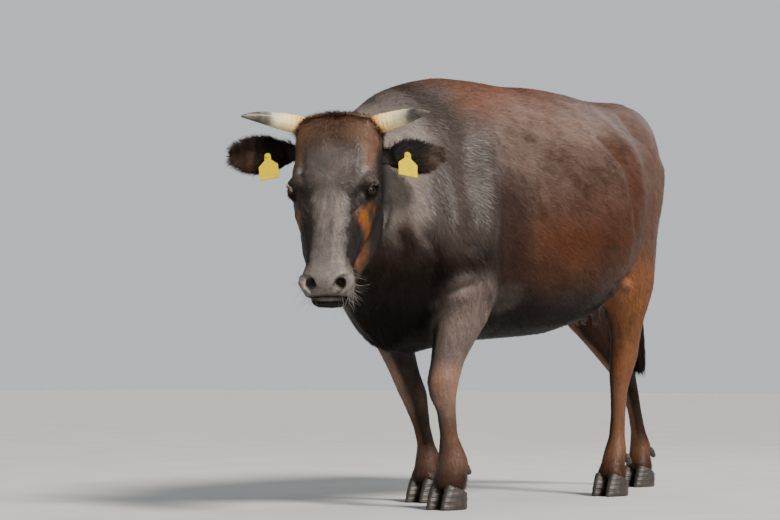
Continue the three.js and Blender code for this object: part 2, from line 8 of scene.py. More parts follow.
import bmesh
import bpy
import numpy as np
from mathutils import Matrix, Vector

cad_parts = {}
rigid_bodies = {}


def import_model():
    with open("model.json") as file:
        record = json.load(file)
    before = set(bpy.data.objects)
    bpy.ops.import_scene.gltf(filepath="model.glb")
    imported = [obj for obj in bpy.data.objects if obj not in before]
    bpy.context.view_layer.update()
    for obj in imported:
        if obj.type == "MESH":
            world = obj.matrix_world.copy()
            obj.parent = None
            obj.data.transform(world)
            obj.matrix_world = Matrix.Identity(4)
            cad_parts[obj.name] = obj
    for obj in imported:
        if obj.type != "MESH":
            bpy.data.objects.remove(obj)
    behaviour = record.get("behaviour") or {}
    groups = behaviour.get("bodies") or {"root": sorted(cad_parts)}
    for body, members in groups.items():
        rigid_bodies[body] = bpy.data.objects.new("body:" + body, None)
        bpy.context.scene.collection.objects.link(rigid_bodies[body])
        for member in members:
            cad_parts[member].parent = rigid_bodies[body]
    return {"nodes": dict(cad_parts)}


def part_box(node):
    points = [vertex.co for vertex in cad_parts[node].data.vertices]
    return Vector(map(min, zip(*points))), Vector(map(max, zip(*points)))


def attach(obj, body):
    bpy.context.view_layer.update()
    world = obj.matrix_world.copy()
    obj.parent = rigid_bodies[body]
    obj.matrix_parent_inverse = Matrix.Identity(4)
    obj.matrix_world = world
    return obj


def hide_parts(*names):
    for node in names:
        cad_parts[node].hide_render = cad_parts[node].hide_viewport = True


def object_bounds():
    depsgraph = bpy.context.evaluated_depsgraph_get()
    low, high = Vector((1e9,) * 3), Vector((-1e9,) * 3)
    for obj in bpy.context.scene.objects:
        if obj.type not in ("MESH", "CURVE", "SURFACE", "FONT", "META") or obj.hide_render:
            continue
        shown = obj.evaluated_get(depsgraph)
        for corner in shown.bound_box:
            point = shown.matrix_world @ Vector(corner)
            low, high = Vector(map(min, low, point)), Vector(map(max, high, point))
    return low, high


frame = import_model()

import openvdb
from mathutils import Matrix, Vector

CAD_BOX = [list(corner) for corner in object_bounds()]
MM = 0.001

# ---- the animal's driving places
MIDLINE_X = -0.019
POLL = np.array((0.135, -0.982, 1.149))
HEAD_TURN, HEAD_TIP = math.radians(28), math.radians(-17)
HEAD_AXES = np.array(Matrix.Rotation(HEAD_TURN, 3, "Z") @ Matrix.Rotation(HEAD_TIP, 3, "X"))
EYE, EYE_RADIUS = np.array((105, 22, -230)), 21
WHORL = np.array((0, -28, -205))

HEAD_NODES = ["head", "ear_left", "ear_right"]
LEG_NODES = ["foreleg_left", "foreleg_right", "hindleg_left", "hindleg_right"]
FLESH = HEAD_NODES + ["neck", "trunk", "tail", "udder"] + LEG_NODES
NECK_CUT = 0.235  # how far behind the poll the fine head mesh ends, along the head's own back-to-front axis

BODY_CELL, HEAD_CELL = ((0.005, 0.002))
BODY_FACES, HEAD_FACES = 84000, 112000
LEG_BLUR, TRUNK_BLUR, NECK_BLUR = 0.007, 0.018, 0.034  # how far the solids' edges are rounded
FACE_BLUR, NAPE_BLUR = 0.0028, 0.007
COAT_DEPTH = 0.004
SIDES = (1, -1)  # the animal's left and right


# ---- small helpers
def to_head(points):
    """Frame points in the head's own axes, in millimetres."""
    return (points - POLL) @ HEAD_AXES / MM


def from_head(points):
    """Head millimetres as frame points."""
    return POLL + (np.asarray(points, float) * MM) @ HEAD_AXES.T


def pair(kind):
    """Each side with the name of its node of that kind."""
    return zip(SIDES, (f"{kind}_left", f"{kind}_right"))


def unit(vectors):
    """Vectors of length 1."""
    return vectors / (np.linalg.norm(vectors, axis=-1, keepdims=True) + 1e-12)


def ramp(values, low, high):
    """0 at low, 1 at high, with smooth ends."""
    t = np.clip((values - low) / (high - low), 0, 1)
    return t * t * (3 - 2 * t)


def laid(ways, normals, share=1.0):
    """Directions turned towards the surface by that share."""
    return unit(ways - share * normals * (ways * normals).sum(1, keepdims=True))


def band(values, middle, none, full):
    """1 within full of the middle and 0 from none outwards."""
    return ramp(np.abs(values - middle), none, full)


def along_path(points, path):
    """For each stretch of a path, the points' share of the way along it and their distance from it."""
    for a, b in zip(path[:-1], path[1:]):
        along = np.clip((points - a) @ (b - a) / ((b - a) @ (b - a)), 0, 1)
        yield along, np.linalg.norm(points - a - along[:, None] * (b - a), axis=1)


def mesh_arrays(mesh):
    """A mesh's points and triangles."""
    mesh.calc_loop_triangles()
    points = np.empty(len(mesh.vertices) * 3, np.float32)
    mesh.vertices.foreach_get("co", points)
    triangles = np.empty(len(mesh.loop_triangles) * 3, np.int32)
    mesh.loop_triangles.foreach_get("vertices", triangles)
    return points.reshape(-1, 3).astype(float), triangles.reshape(-1, 3)


def new_mesh(name, points, faces, smooth=True):
    """A mesh from arrays of points and of faces with one number of corners."""
    mesh = bpy.data.meshes.new(name)
    count, corners = faces.shape
    mesh.vertices.add(len(points))
    mesh.vertices.foreach_set("co", np.ascontiguousarray(points, np.float32).ravel())
    mesh.loops.add(count * corners)
    mesh.loops.foreach_set("vertex_index", np.ascontiguousarray(faces, np.int32).ravel())
    mesh.polygons.add(count)
    mesh.polygons.foreach_set("loop_start", np.arange(0, count * corners, corners, dtype=np.int32))
    mesh.update(calc_edges=True)
    mesh.polygons.foreach_set("use_smooth", np.full(count, smooth))
    return mesh


def mesh_of(shape, name):
    """A smooth mesh from a bmesh, which is used up."""
    mesh = bpy.data.meshes.new(name)
    shape.to_mesh(mesh)
    shape.free()
    mesh.polygons.foreach_set("use_smooth", np.ones(len(mesh.polygons), bool))
    return mesh


def give(mesh, name, values):
    """A value or a colour at each point of a mesh, for its material to read."""
    values = np.asarray(values, np.float32)
    if values.ndim == 1:
        mesh.attributes.new(name, "FLOAT", "POINT").data.foreach_set("value", values)
    else:
        rows = np.column_stack([values, np.ones(len(values), np.float32)])
        mesh.attributes.new(name, "FLOAT_COLOR", "POINT").data.foreach_set("color", rows.ravel())


def new_object(name, mesh):
    made = bpy.data.objects.new(name, mesh)
    bpy.context.scene.collection.objects.link(made)
    return made


def vertex_normals(points, faces):
    """Area-weighted normals of a triangle or quad mesh."""
    corners = points[faces]
    across = np.cross(corners[:, 1] - corners[:, 0], corners[:, 2] - corners[:, 0])
    if faces.shape[1] == 4:
        across += np.cross(corners[:, 2] - corners[:, 0], corners[:, 3] - corners[:, 0])
    normals = np.zeros_like(points)
    for axis in range(3):
        for corner in range(faces.shape[1]):
            normals[:, axis] += np.bincount(faces[:, corner], across[:, axis], len(points))
    return unit(normals)


class Noise:
    """Smooth random values from -1 to 1 in space, out of a repeating block of seeded numbers."""

    SIDE = 32

    def __init__(self, seed):
        self.block = np.random.default_rng(seed).uniform(-1, 1, (self.SIDE,) * 3)

    def __call__(self, points, size):
        scaled = points / size
        cell = np.floor(scaled).astype(int)
        part = scaled - cell
        part = part * part * (3 - 2 * part)
        total = np.zeros(len(points))
        for corner in np.ndindex(2, 2, 2):
            where = (cell + corner) % self.SIDE
            share = np.prod(np.where(corner, part, 1 - part), axis=1)
            total += share * self.block[where[:, 0], where[:, 1], where[:, 2]]
        return total


# ---- volumes of signed distance
def soup(names):
    """The points and triangles of some CAD nodes together."""
    points, triangles, count = [], [], 0
    for name in names:
        node_points, node_triangles = mesh_arrays(bpy.data.objects[name].data)
        points.append(node_points)
        triangles.append(node_triangles + count)
        count += len(node_points)
    return np.concatenate(points), np.concatenate(triangles).astype(np.uint32)


class Volume:
    """Signed distances on a block of small cubes, negative inside."""

    WALL_SKIP = 1.2  # cells
    BLUR_REACH = 2.6  # standard deviations

    def __init__(self, names, cell, reach):
        self.cell = cell
        self.transform = openvdb.createLinearTransform(voxelSize=cell)
        points, triangles = soup(names)
        rough = openvdb.FloatGrid.createLevelSetFromPolygons(
            points, triangles=triangles, transform=self.transform, halfWidth=3)
        # Where two nodes meet, each has a wall. The surface a little way out has none, so it is measured.
        outer, quads = rough.convertToQuads(self.WALL_SKIP * cell)
        grid = openvdb.FloatGrid.createLevelSetFromPolygons(
            outer.astype(float), quads=quads, transform=self.transform, halfWidth=reach / cell)
        low, high = grid.evalActiveVoxelBoundingBox()
        self.low = np.array(low)
        self.values = np.empty(np.array(high) - self.low + 1, np.float32)
        grid.copyToArray(self.values, ijk=low)
        self.values += self.WALL_SKIP * cell
        self.background = float(grid.background)

    def axes(self, start=(0, 0, 0), stop=None):
        """The frame x, y and z of the cells from start to stop, to broadcast against the block."""
        stop = self.values.shape if stop is None else stop
        lines = [(np.arange(a, b) + c) * self.cell for a, b, c in zip(start, stop, self.low)]
        return np.meshgrid(*(line.astype(np.float32) for line in lines), indexing="ij", sparse=True)

    def along(self, direction):
        """How far each cell lies from the poll along a direction."""
        x, y, z = (axis - np.float32(start) for axis, start in zip(self.axes(), POLL))
        direction = np.float32(direction)
        return x * direction[0] + y * direction[1] + z * direction[2]

    def room(self, low, high):
        """The slices of the block between two frame corners, and the frame points of their cells."""
        start = np.clip(np.floor(np.asarray(low) / self.cell).astype(int) - self.low, 0, self.values.shape)
        stop = np.clip(np.ceil(np.asarray(high) / self.cell).astype(int) - self.low + 1, 0, self.values.shape)
        points = np.stack(np.broadcast_arrays(*self.axes(start, stop)), -1)
        return tuple(slice(a, b) for a, b in zip(start, stop)), points

    def blurred(self, width):
        """The distances after a Gaussian blur of that width."""
        sigma = width / self.cell
        reach = int(self.BLUR_REACH * sigma + 0.5)
        taps = np.exp(-0.5 * (np.arange(reach + 1) / sigma) ** 2)
        taps /= taps[0] + 2 * taps[1:].sum()
        values = self.values
        for axis in range(3):
            edges = [(reach, reach) if axis == a else (0, 0) for a in range(3)]
            padded = np.moveaxis(np.pad(values, edges, mode="edge"), axis, 0)
            size = values.shape[axis]
            total = padded[reach:reach + size] * taps[0]
            for step in range(1, reach + 1):
                below, above = padded[reach - step:][:size], padded[reach + step:][:size]
                total += (below + above) * taps[step]
            values = np.moveaxis(total, 0, axis)
        return values

    def add(self, shape, softness, sign=1):
        """Joins on a shape, which is a low corner, a high corner and a distance, with a soft fillet."""
        low, high, distance = shape
        where, points = self.room(low - softness, high + softness)
        own = sign * self.values[where]
        other = distance(points.reshape(-1, 3)).reshape(points.shape[:3])
        mix = np.maximum(softness - np.abs(own - other), 0) / softness
        self.values[where] = sign * (np.minimum(own, other) - mix * mix * softness / 4)

    def cut(self, shape, softness):
        """Takes a shape away, with a rounded edge of that softness."""
        self.add(shape, softness, -1)

    def surface(self):
        """The points and quads where the distance is nought."""
        grid = openvdb.FloatGrid(self.background)
        grid.transform = self.transform
        grid.copyFromArray(self.values, ijk=tuple(int(v) for v in self.low), tolerance=0)
        points, quads = grid.convertToQuads(0.0)
        return points.astype(float), quads[:, ::-1].astype(np.int64)


def head_shape(centre, reach, distance):
    """A shape for Volume.add and Volume.cut, from a distance in head millimetres."""
    place = from_head(centre)
    return place - reach * MM, place + reach * MM, lambda points: distance(to_head(points)) * MM


def rod_distance(path, radii):
    """The distance from a bent rod through some points, with a radius at each."""
    def distance(points):
        nearest = np.full(len(points), np.inf)
        for (along, gap), start, end in zip(along_path(points, path), radii[:-1], radii[1:]):
            nearest = np.minimum(nearest, gap - start - along * (end - start))
        return nearest

    return distance


def tube(path, radii):
    """A bent rod in the head's millimetres, as a shape."""
    path, radii = np.asarray(path, float), np.asarray(radii, float)
    centre = (path.min(0) + path.max(0)) / 2
    return head_shape(centre, np.abs(path - centre).max() * 1.75 + radii.max() + 6, rod_distance(path, radii))


def rod(path, radii):
    """A bent rod in the frame's metres, as a shape."""
    path, radii = np.asarray(path, float), np.asarray(radii, float)
    return path.min(0) - radii.max(), path.max(0) + radii.max(), rod_distance(path, radii)


def ellipsoid(centre, radii):
    """The distance from an ellipsoid whose axes are the head's."""
    centre, radii = np.asarray(centre, float), np.asarray(radii, float)

    def distance(points):
        offset = points - centre
        near = np.linalg.norm(offset / radii, axis=1) + 1e-9
        return near * (near - 1) / np.linalg.norm(offset / radii ** 2, axis=1).clip(1e-9)

    return head_shape(centre, radii.max() * 1.3 + 6, distance)


# ---- skin: the body
def behind_cut(points):
    """How far points lie behind the plane across the neck where the fine head mesh ends."""
    return (points - POLL) @ HEAD_AXES[:, 1] - NECK_CUT


TAIL_LINE = np.array([
    (-19, 730, 1322), (-19, 775, 1322), (-19, 815, 1306), (-17, 852, 1262),
    (-15, 870, 1210), (-15, 874, 1160), (-13, 872, 1090), (-11, 866, 1020),
    (-5, 850, 880), (3, 842, 740), (11, 840, 600), (17, 844, 500), (20, 847, 455)]) / 1000
TAIL_RADII = np.array([30, 30, 29, 26, 22, 20, 18, 16.5, 15, 16, 14, 8, 3]) * MM


def body_details(body):
    """The tail between its grooves, the cleft under it and the teats, all too thin to outlast the blur."""
    for side in SIDES:
        groove = TAIL_LINE[3:9] + (side * 0.040, -0.006, 0)
        body.cut(rod(groove, np.array([2, 6, 9, 8, 4, 1]) * MM), 0.032)
        for y in (0.476, 0.556):
            teat = [(MIDLINE_X + side * 0.038, y, 0.640), (MIDLINE_X + side * 0.041, y - 0.003, 0.598),
                    (MIDLINE_X + side * 0.042, y - 0.005, 0.584)]
            body.add(rod(teat, (0.014, 0.010, 0.008)), 0.014)
    cleft = [(MIDLINE_X, y, z) for y, z in ((0.868, 1.05), (0.872, 0.97), (0.838, 0.88), (0.758, 0.79))]
    body.cut(rod(cleft, (0.004, 0.016, 0.020, 0.012)), 0.045)
    body.add(rod(TAIL_LINE, TAIL_RADII), 0.010)


def body_surface():
    """The whole body as one form, softest at the neck, less so on the trunk, and least on the legs."""
    body = Volume(FLESH, BODY_CELL, 0.04)
    _, y, z = body.axes()
    soft = ramp(z, 0.42, 0.72) * ramp(y, 0.90, 0.80)
    behind = body.along(HEAD_AXES[:, 1]) - NECK_CUT
    values = body.blurred(LEG_BLUR)
    values += soft * ramp(behind, 0.0, 0.07) * (body.blurred(TRUNK_BLUR) - values)
    neck = ramp(z, 0.66, 0.78) * ramp(y, -0.30, -0.46) * ramp(behind, 0.02, 0.11)
    values += neck * (body.blurred(NECK_BLUR) - values)
    thinner_coat = 0.0025 * ramp(z, 0.40, 0.12)
    body.values = values + (COAT_DEPTH - thinner_coat)
    body_details(body)
    return body.surface()


def stroke(points, path, width, height):
    """A ridge of that height along a path, or a groove where height is below 0, fading over width."""
    path = np.asarray(path, float)
    for _ in range(2):
        ahead, behind = 0.75 * path[:-1] + 0.25 * path[1:], 0.25 * path[:-1] + 0.75 * path[1:]
        path = np.concatenate([path[:1], np.stack([ahead, behind], 1).reshape(-1, 3)[1:-1], path[-1:]])
    low, high = path.min(0) - 3 * width, path.max(0) + 3 * width
    near = np.flatnonzero(((points > low) & (points < high)).all(1))
    nearest = np.full(len(near), np.inf)
    for _, gap in along_path(points[near], path):
        nearest = np.minimum(nearest, gap)
    result = np.zeros(len(points))
    result[near] = height * np.exp(-((nearest / width) ** 2))
    return result


# Ridges and grooves of both sides of the body, as width, height and a path, in millimetres of the frame.
BODY_STROKES = [
    (46, 11, [(150, -380, 1220), (226, -477, 1026), (253, -493, 957), (275, -504, 881),
              (277, -510, 800)]),  # spine of the scapula
    (36, -8, [(203, -531, 1000), (225, -546, 940), (258, -571, 857)]),  # hollow in front
    (44, -18, [(190, -340, 1140), (236, -382, 1056), (275, -405, 931), (287, -435, 809),
               (286, -455, 740)]),  # behind the shoulder
    (40, 10, [(270, -500, 770), (260, -460, 700)]),  # triceps
    (24, 13, [(250, -390, 625), (238, -372, 595)]),  # point of the elbow
    (12, -14, [(286, -440, 700), (272, -395, 655), (258, -355, 620)]),  # fold behind it
    (34, 12, [(160, 520, 1262), (192, 510, 1225)]),  # hip bone
    (26, 7, [(265, 207, 1170), (287, 243, 1132), (305, 288, 1089), (326, 302, 1004),
             (328, 328, 891)]),  # front edge of the flank
    (64, -12, [(235, 330, 1190), (270, 410, 1120), (300, 410, 1030)]),  # hollow of the flank
    (46, -8, [(175, 620, 1235), (225, 630, 1120)]),  # between the hip bone and the pin bone
    (18, 13, [(291, 263, 698), (262, 330, 705), (225, 440, 725)]),  # fold of the flank
    (14, -10, [(262, 278, 667), (240, 360, 675), (215, 450, 700)]),  # crease under it
    (30, -8, [(210, 700, 1100), (200, 740, 950), (180, 720, 800)]),  # between the thigh's muscles
]
# The folds that the step and the turned neck press into the left side, and the loose ones down the brisket.
LEFT_STROKES = [
    (18, -8, [(150, -556, 632), (180, -545, 658), (235, -540, 681), (262, -507, 693)]),  # above the arm
    (18, 8, [(158, -552, 632), (200, -540, 650), (240, -525, 662), (262, -485, 670)]),
    (18, -10, [(140, -545, 608), (175, -545, 620), (205, -533, 632), (231, -515, 640)]),
    (17, 7, [(171, -613, 817), (192, -606, 796), (198, -604, 775), (199, -595, 740),
             (179, -585, 723)]),  # wavy fold of the neck
    (18, -6, [(158, -632, 812), (176, -622, 780), (180, -612, 740), (165, -600, 712)]),
    (20, 8, [(159, -775, 821), (137, -743, 771), (114, -713, 708)]),  # edge of the throat
    (22, -6, [(158, -689, 832), (154, -650, 780), (140, -640, 720)]),
    (20, -5, [(150, -720, 930), (152, -700, 860), (140, -680, 780)]),
    (10, 7, [(49, -708, 597), (23, -659, 545), (-8, -601, 498)]),  # brisket
    (9, -6, [(55, -690, 600), (30, -640, 540), (5, -600, 500)]),
    (9, 6, [(62, -655, 590), (40, -622, 528), (12, -578, 486)]),
    (10, 5, [(70, -622, 569), (40, -571, 492)]),
]


def sculpt_body(points):
    """Muscle, bone and skin folds of the trunk and legs, as a height above each point."""
    raised = np.zeros(len(points))
    for width, height, path in BODY_STROKES:
        path = np.array(path) / 1000
        mirrored = np.column_stack([2 * MIDLINE_X - path[:, 0], path[:, 1:]])
        for line in (path, mirrored):
            raised += stroke(points, line, width / 1000, height / 1000)
    for width, height, path in LEFT_STROKES:
        raised += stroke(points, np.array(path) / 1000, width / 1000, height / 1000)
    return raised


# ---- skin: the head
def sculpt_head(head):
    """Brows, lids, nostrils, mouth and muzzle, carved into the head's volume."""
    head.add(ellipsoid((0, 11, -502), (45, 23, 27)), 0.012)
    lower_lip = [(-44, 54, -537), (-22, 48, -540), (0, 46, -541), (22, 48, -540), (44, 54, -537)]
    head.add(tube(lower_lip, (3, 5, 5.5, 5, 3)), 0.010)
    head.cut(tube([(0, -8, -512), (0, 5, -523), (0, 17, -534)], (0.8, 2.0, 2.6)), 0.005)
    for side in SIDES:
        mirror = np.array((side, 1, 1))
        eye_forms(head, mirror)
        nostril_forms(head, mirror)
        head.cut(tube(np.array(MOUTH) * mirror, (2.2, 2.4, 2.6, 2.6, 2.6, 2.4, 2.0, 1.0)), 0.004)


MOUTH = [(0, 47, -534), (28, 49, -534), (47, 56, -531), (61, 68, -513), (64, 75, -490), (60, 81, -465),
         (56, 86, -440), (52, 91, -424)]

GAZE = unit(np.array((0.75, -0.66, 0.03)))
LID_AXIS = np.array((0.30, 0.62, 0.72))  # from the inner corner of the eye to the outer one
LID_AXIS = unit(LID_AXIS - GAZE * (LID_AXIS @ GAZE))
LID_UP = np.cross(GAZE, LID_AXIS)
LID_UP = LID_UP * np.sign(LID_UP[2] - LID_UP[1])
LID_HALF, LID_OPEN_UP, LID_OPEN_DOWN = 19.5, 13.0, 11.0


def lid_edge(share, upper, out):
    """A point on a lid's edge: share is -1 at the inner corner and 1 at the outer, out is beyond the ball."""
    along = share * LID_HALF
    opened = (LID_OPEN_UP if upper else -LID_OPEN_DOWN) * (1 - share * share) ** 0.8
    radius = EYE_RADIUS + out
    ahead = math.sqrt(max(radius ** 2 - along ** 2 - opened ** 2, 0))
    return EYE + along * LID_AXIS + opened * LID_UP + ahead * GAZE


def eye_forms(head, mirror):
    """The lids over the eyeball, the opening between them, the brow and the tear groove."""
    centre = EYE * mirror

    def opening(points):
        offset = (points - centre) * mirror
        along, up = offset @ LID_AXIS, offset @ LID_UP
        half = np.where(up > 0, LID_OPEN_UP, LID_OPEN_DOWN)
        half = half * np.clip(1 - (along / LID_HALF) ** 2, 0, 1) ** 0.8
        across = np.where(np.abs(along) < LID_HALF, np.abs(up) - half, np.hypot(np.abs(along) - LID_HALF, up))
        depth = EYE_RADIUS - 3 - np.linalg.norm(offset, axis=1)
        return np.maximum(np.maximum(across * 0.8, depth), -(offset @ GAZE) + 4)

    head.add(ellipsoid(centre, (EYE_RADIUS + 3.6,) * 3), 0.012)
    brow = [(76, 4, -190), (93, 7, -200), (108, 18, -206), (119, 40, -204)]
    head.add(tube(np.array(brow) * mirror, (10, 15, 15, 9)), 0.026)
    head.cut(tube([lid_edge(s, True, 5.5) * mirror + (0, 0, 7) for s in (-0.8, -0.4, 0, 0.4, 0.8)],
                  (0.8, 1.4, 1.6, 1.4, 0.8)), 0.006)
    head.cut(tube([lid_edge(s, False, 5.0) * mirror + (0, 0, -6) for s in (-0.7, -0.2, 0.3, 0.7)],
                  (0.6, 1.2, 1.2, 0.6)), 0.006)
    inner = lid_edge(-1, True, 2)
    tear = [inner, inner + (-4, -3, -12), inner + (-7, -3, -26), inner + (-9, 0, -42)]
    head.cut(tube(np.array(tear) * mirror, (2.4, 3.2, 3.0, 1.0)), 0.012)
    head.cut(head_shape(centre, EYE_RADIUS + 12, opening), 0.0015)
    for upper in (True, False):
        rim = [lid_edge(s, upper, 2.2) * mirror for s in np.linspace(-1, 1, 9)]
        head.add(tube(rim, [1.0] + [1.7] * 7 + [1.0]), 0.003)


def nostril_forms(head, mirror):
    """A comma-shaped nostril, deep at its lower end, with its raised outer wing."""
    wing = [(46, 15, -534), (62, 12, -521), (71, 12, -505), (73, 19, -486)]
    head.add(tube(np.array(wing) * mirror, (5, 7, 7.5, 4)), 0.010)
    slit = [(30, 10, -528), (36, 3, -519), (44, -3, -508), (55, -3, -496), (67, 5, -484)]
    head.cut(tube(np.array(slit) * mirror, (8, 14, 15, 11.5, 4)), 0.004)
    well = [(41, 3, -512), (42, 16, -504), (36, 42, -490)]
    head.cut(tube(np.array(well) * mirror, (15, 15, 8)), 0.004)


# Ridges and hollows of one half of the face, as width, height and a path, in millimetres of the head.
FACE_STROKES = [
    (13, 3.5, [(84, -8, -200), (66, -20, -236), (50, -26, -275), (46, -22, -330), (40, -16, -400),
               (38, -12, -440)]),  # from the brow down the edge of the nasal bridge
    (17, -5.0, [(92, 0, -262), (78, -4, -300), (68, -5, -350), (60, -4, -410)]),  # hollow beside it
    (12, 3.0, [(112, 48, -275), (100, 56, -330), (84, 58, -385)]),  # facial crest
    (34, 3.5, [(120, 160, -262), (118, 165, -318)]),  # chewing muscle
    (4.5, 2.6, [(101, 8, -254), (92, 5, -268), (78, -1, -290), (63, -6, -307)]),  # fold down from the eye
    (5, -2.6, [(98, 0, -248), (86, -3, -264), (72, -8, -284), (60, -11, -300)]),  # groove beside it
    (11, 4.0, [(88, -6, -178), (93, -3, -166)]),  # knob of the brow
    (20, -5.0, [(110, 30, -168), (122, 62, -150)]),  # temple
    (38, 3.0, [(0, -26, -110), (0, -30, -165)]),  # dome of the forehead
    (17, -2.5, [(0, -32, -212), (0, -30, -250)]),  # hollow between the eyes
    (22, 2.5, [(92, -6, -185), (99, -2, -120), (104, 6, -55)]),  # from the brow to the horn
    (11, 4.0, [(124, 52, -236), (124, 88, -206), (120, 118, -168)]),  # cheek bone, back to the ear
    (4, -1.6, [(44, -14, -473), (60, -8, -466), (71, 3, -463)]),  # wrinkles above the nostril
    (4, -1.3, [(38, -17, -461), (56, -10, -453), (68, 0, -450)]),
    (3.5, -1.6, [(66, 30, -520), (71, 40, -500), (71, 46, -478)]),  # furrow of the upper lip
    (14, 3.0, [(100, 236, -300), (86, 214, -365), (64, 176, -425)]),  # edge of the jaw
    (18, -6.0, [(112, 215, -190), (118, 248, -245), (106, 264, -310)]),  # behind the jaw
    (7, -3.0, [(52, 92, -536), (30, 104, -548), (0, 108, -549)]),  # under the lower lip
]


def sculpt_face(points):
    """The strokes of both sides of the face, as a height above each point of the head."""
    places = to_head(points)
    raised = np.zeros(len(points))
    for side in SIDES:
        for width, height, path in FACE_STROKES:
            share = 0.5 if path[0][0] == 0 else 1.0
            raised += share * stroke(places, np.array(path) * (side, 1, 1), width, height)
    pebbled = nose_pad(places)
    return (raised + 0.35 * pebbled * coat_noise(points, 0.0032)) * MM


def head_surface():
    """The head, the ears and the front of the neck, with finer cells than the body."""
    head = Volume(HEAD_NODES + ["neck"], HEAD_CELL, 0.025)
    ahead = (head.along(HEAD_AXES[:, 1]) < NECK_CUT + 0.02).any(axis=(0, 2))
    head.values = np.ascontiguousarray(head.values[:, :np.flatnonzero(ahead).max() + 1])
    across, back, up = (head.along(HEAD_AXES[:, axis]) / np.float32(MM) for axis in range(3))
    soft = ramp(back, 70, 150) * ramp(np.abs(across), 150, 122)
    values = head.blurred(FACE_BLUR)
    values += soft * (head.blurred(NAPE_BLUR) - values)
    values += COAT_DEPTH - 0.002 * ramp(back, NECK_CUT / MM, 120) - 0.0012 * ramp(-up, 430, 490)
    head.values = values
    sculpt_head(head)
    return head.surface()


# ---- skin: one closed mesh
def cut_at_neck(points, quads, in_front):
    """A surface cut cleanly at the plane across the neck, less the side that isn't wanted."""
    near = behind_cut(points)[quads]
    wanted = (near < BODY_CELL * 3).any(1) if in_front else (near > -BODY_CELL * 3).any(1)
    used, quads = np.unique(quads[wanted], return_inverse=True)
    shape = bmesh.new()
    shape.from_mesh(new_mesh("cut", points[used], quads.reshape(-1, 4)))
    normal = Vector(HEAD_AXES[:, 1])
    gap = -0.5 * BODY_CELL if in_front else 0.5 * BODY_CELL
    bmesh.ops.bisect_plane(shape, geom=shape.verts[:] + shape.edges[:] + shape.faces[:], dist=1e-6,
                           plane_co=Vector(POLL) + normal * (NECK_CUT + gap), plane_no=normal,
                           clear_outer=in_front, clear_inner=not in_front)
    bmesh.ops.triangulate(shape, faces=shape.faces[:])
    return mesh_of(shape, "half")


def thinned(mesh, faces):
    """The mesh with about that many triangles, most where it curves most."""
    holder = new_object("holder", mesh)
    modifier = holder.modifiers.new("thin", "DECIMATE")
    modifier.ratio = min(1.0, faces / len(mesh.polygons))
    shape = holder.evaluated_get(bpy.context.evaluated_depsgraph_get())
    result = bpy.data.meshes.new_from_object(shape)
    bpy.data.objects.remove(holder)
    result.polygons.foreach_set("use_smooth", np.ones(len(result.polygons), bool))
    return result


def half_skin(surface, sculpt, in_front, faces):
    """A surface's part on one side of the neck's plane, with its relief, in about that many triangles."""
    points, quads = surface
    points = points + vertex_normals(points, quads) * sculpt(points)[:, None]
    return thinned(cut_at_neck(points, quads, in_front), faces)


def make_skin():
    """The body and the head bridged across the neck into one closed mesh."""
    shape = bmesh.new()
    shape.from_mesh(half_skin(body_surface(), sculpt_body, False, BODY_FACES))
    shape.from_mesh(half_skin(head_surface(), sculpt_face, True, HEAD_FACES))
    rim = [edge for edge in shape.edges if edge.is_boundary]
    bmesh.ops.bridge_loops(shape, edges=rim)
    bmesh.ops.triangulate(shape, faces=shape.faces[:])
    bmesh.ops.recalc_face_normals(shape, faces=shape.faces[:])
    skin = new_object("skin", mesh_of(shape, "skin"))
    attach(skin, "root")
    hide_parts(*FLESH)
    return skin


# ---- which part of the body a point is on
class PartMap:
    """How near a point is to each CAD node of flesh, from coarse blocks of signed distance."""

    CELL, REACH, FADE = 0.012, 0.06, 0.012

    def __init__(self, names):
        self.names = names
        self.low = np.floor(np.array(CAD_BOX[0]) / self.CELL).astype(int) - 6
        size = np.ceil(np.array(CAD_BOX[1]) / self.CELL).astype(int) + 6 - self.low
        transform = openvdb.createLinearTransform(voxelSize=self.CELL)
        self.blocks = []
        for name in names:
            points, triangles = soup([name])
            grid = openvdb.FloatGrid.createLevelSetFromPolygons(
                points, triangles=triangles, transform=transform, halfWidth=self.REACH / self.CELL)
            block = np.empty(size, np.float32)
            grid.copyToArray(block, ijk=tuple(int(v) for v in self.low))
            self.blocks.append(block)

    def shares(self, points):
        """A column for each node, adding up to 1 over the nodes, that fades over a few centimetres."""
        scaled = np.clip(points / self.CELL - self.low, 0, np.array(self.blocks[0].shape) - 1.001)
        cell = scaled.astype(int)
        part = scaled - cell
        columns = np.zeros((len(points), len(self.names)))
        for corner in np.ndindex(2, 2, 2):
            where = tuple((cell + corner).T)
            share = np.prod(np.where(corner, part, 1 - part), axis=1)
            for number, block in enumerate(self.blocks):
                columns[:, number] += share * block[where]
        nearness = np.maximum(np.exp(-(columns - columns.min(1, keepdims=True)) / self.FADE) - 0.02, 0)
        return nearness / nearness.sum(1, keepdims=True)

    def share(self, shares, *names):
        """The columns of some nodes, added up."""
        return sum(shares[:, self.names.index(name)] for name in names)


EAR_ROOTS = {1: from_head((126, 92, -92)), -1: from_head((-126, 92, -75))}
EAR_TIPS = {1: from_head((288, 198, -41)), -1: from_head((-326, 99, -79))}
EAR_WAYS = {side: unit(EAR_TIPS[side] - EAR_ROOTS[side]) for side in SIDES}


def ear_offsets(points, side):
    """How far points lie along an ear from its root, and their offsets across it."""
    offset = points - EAR_ROOTS[side]
    along = offset @ EAR_WAYS[side]
    return along, offset - along[:, None] * EAR_WAYS[side]


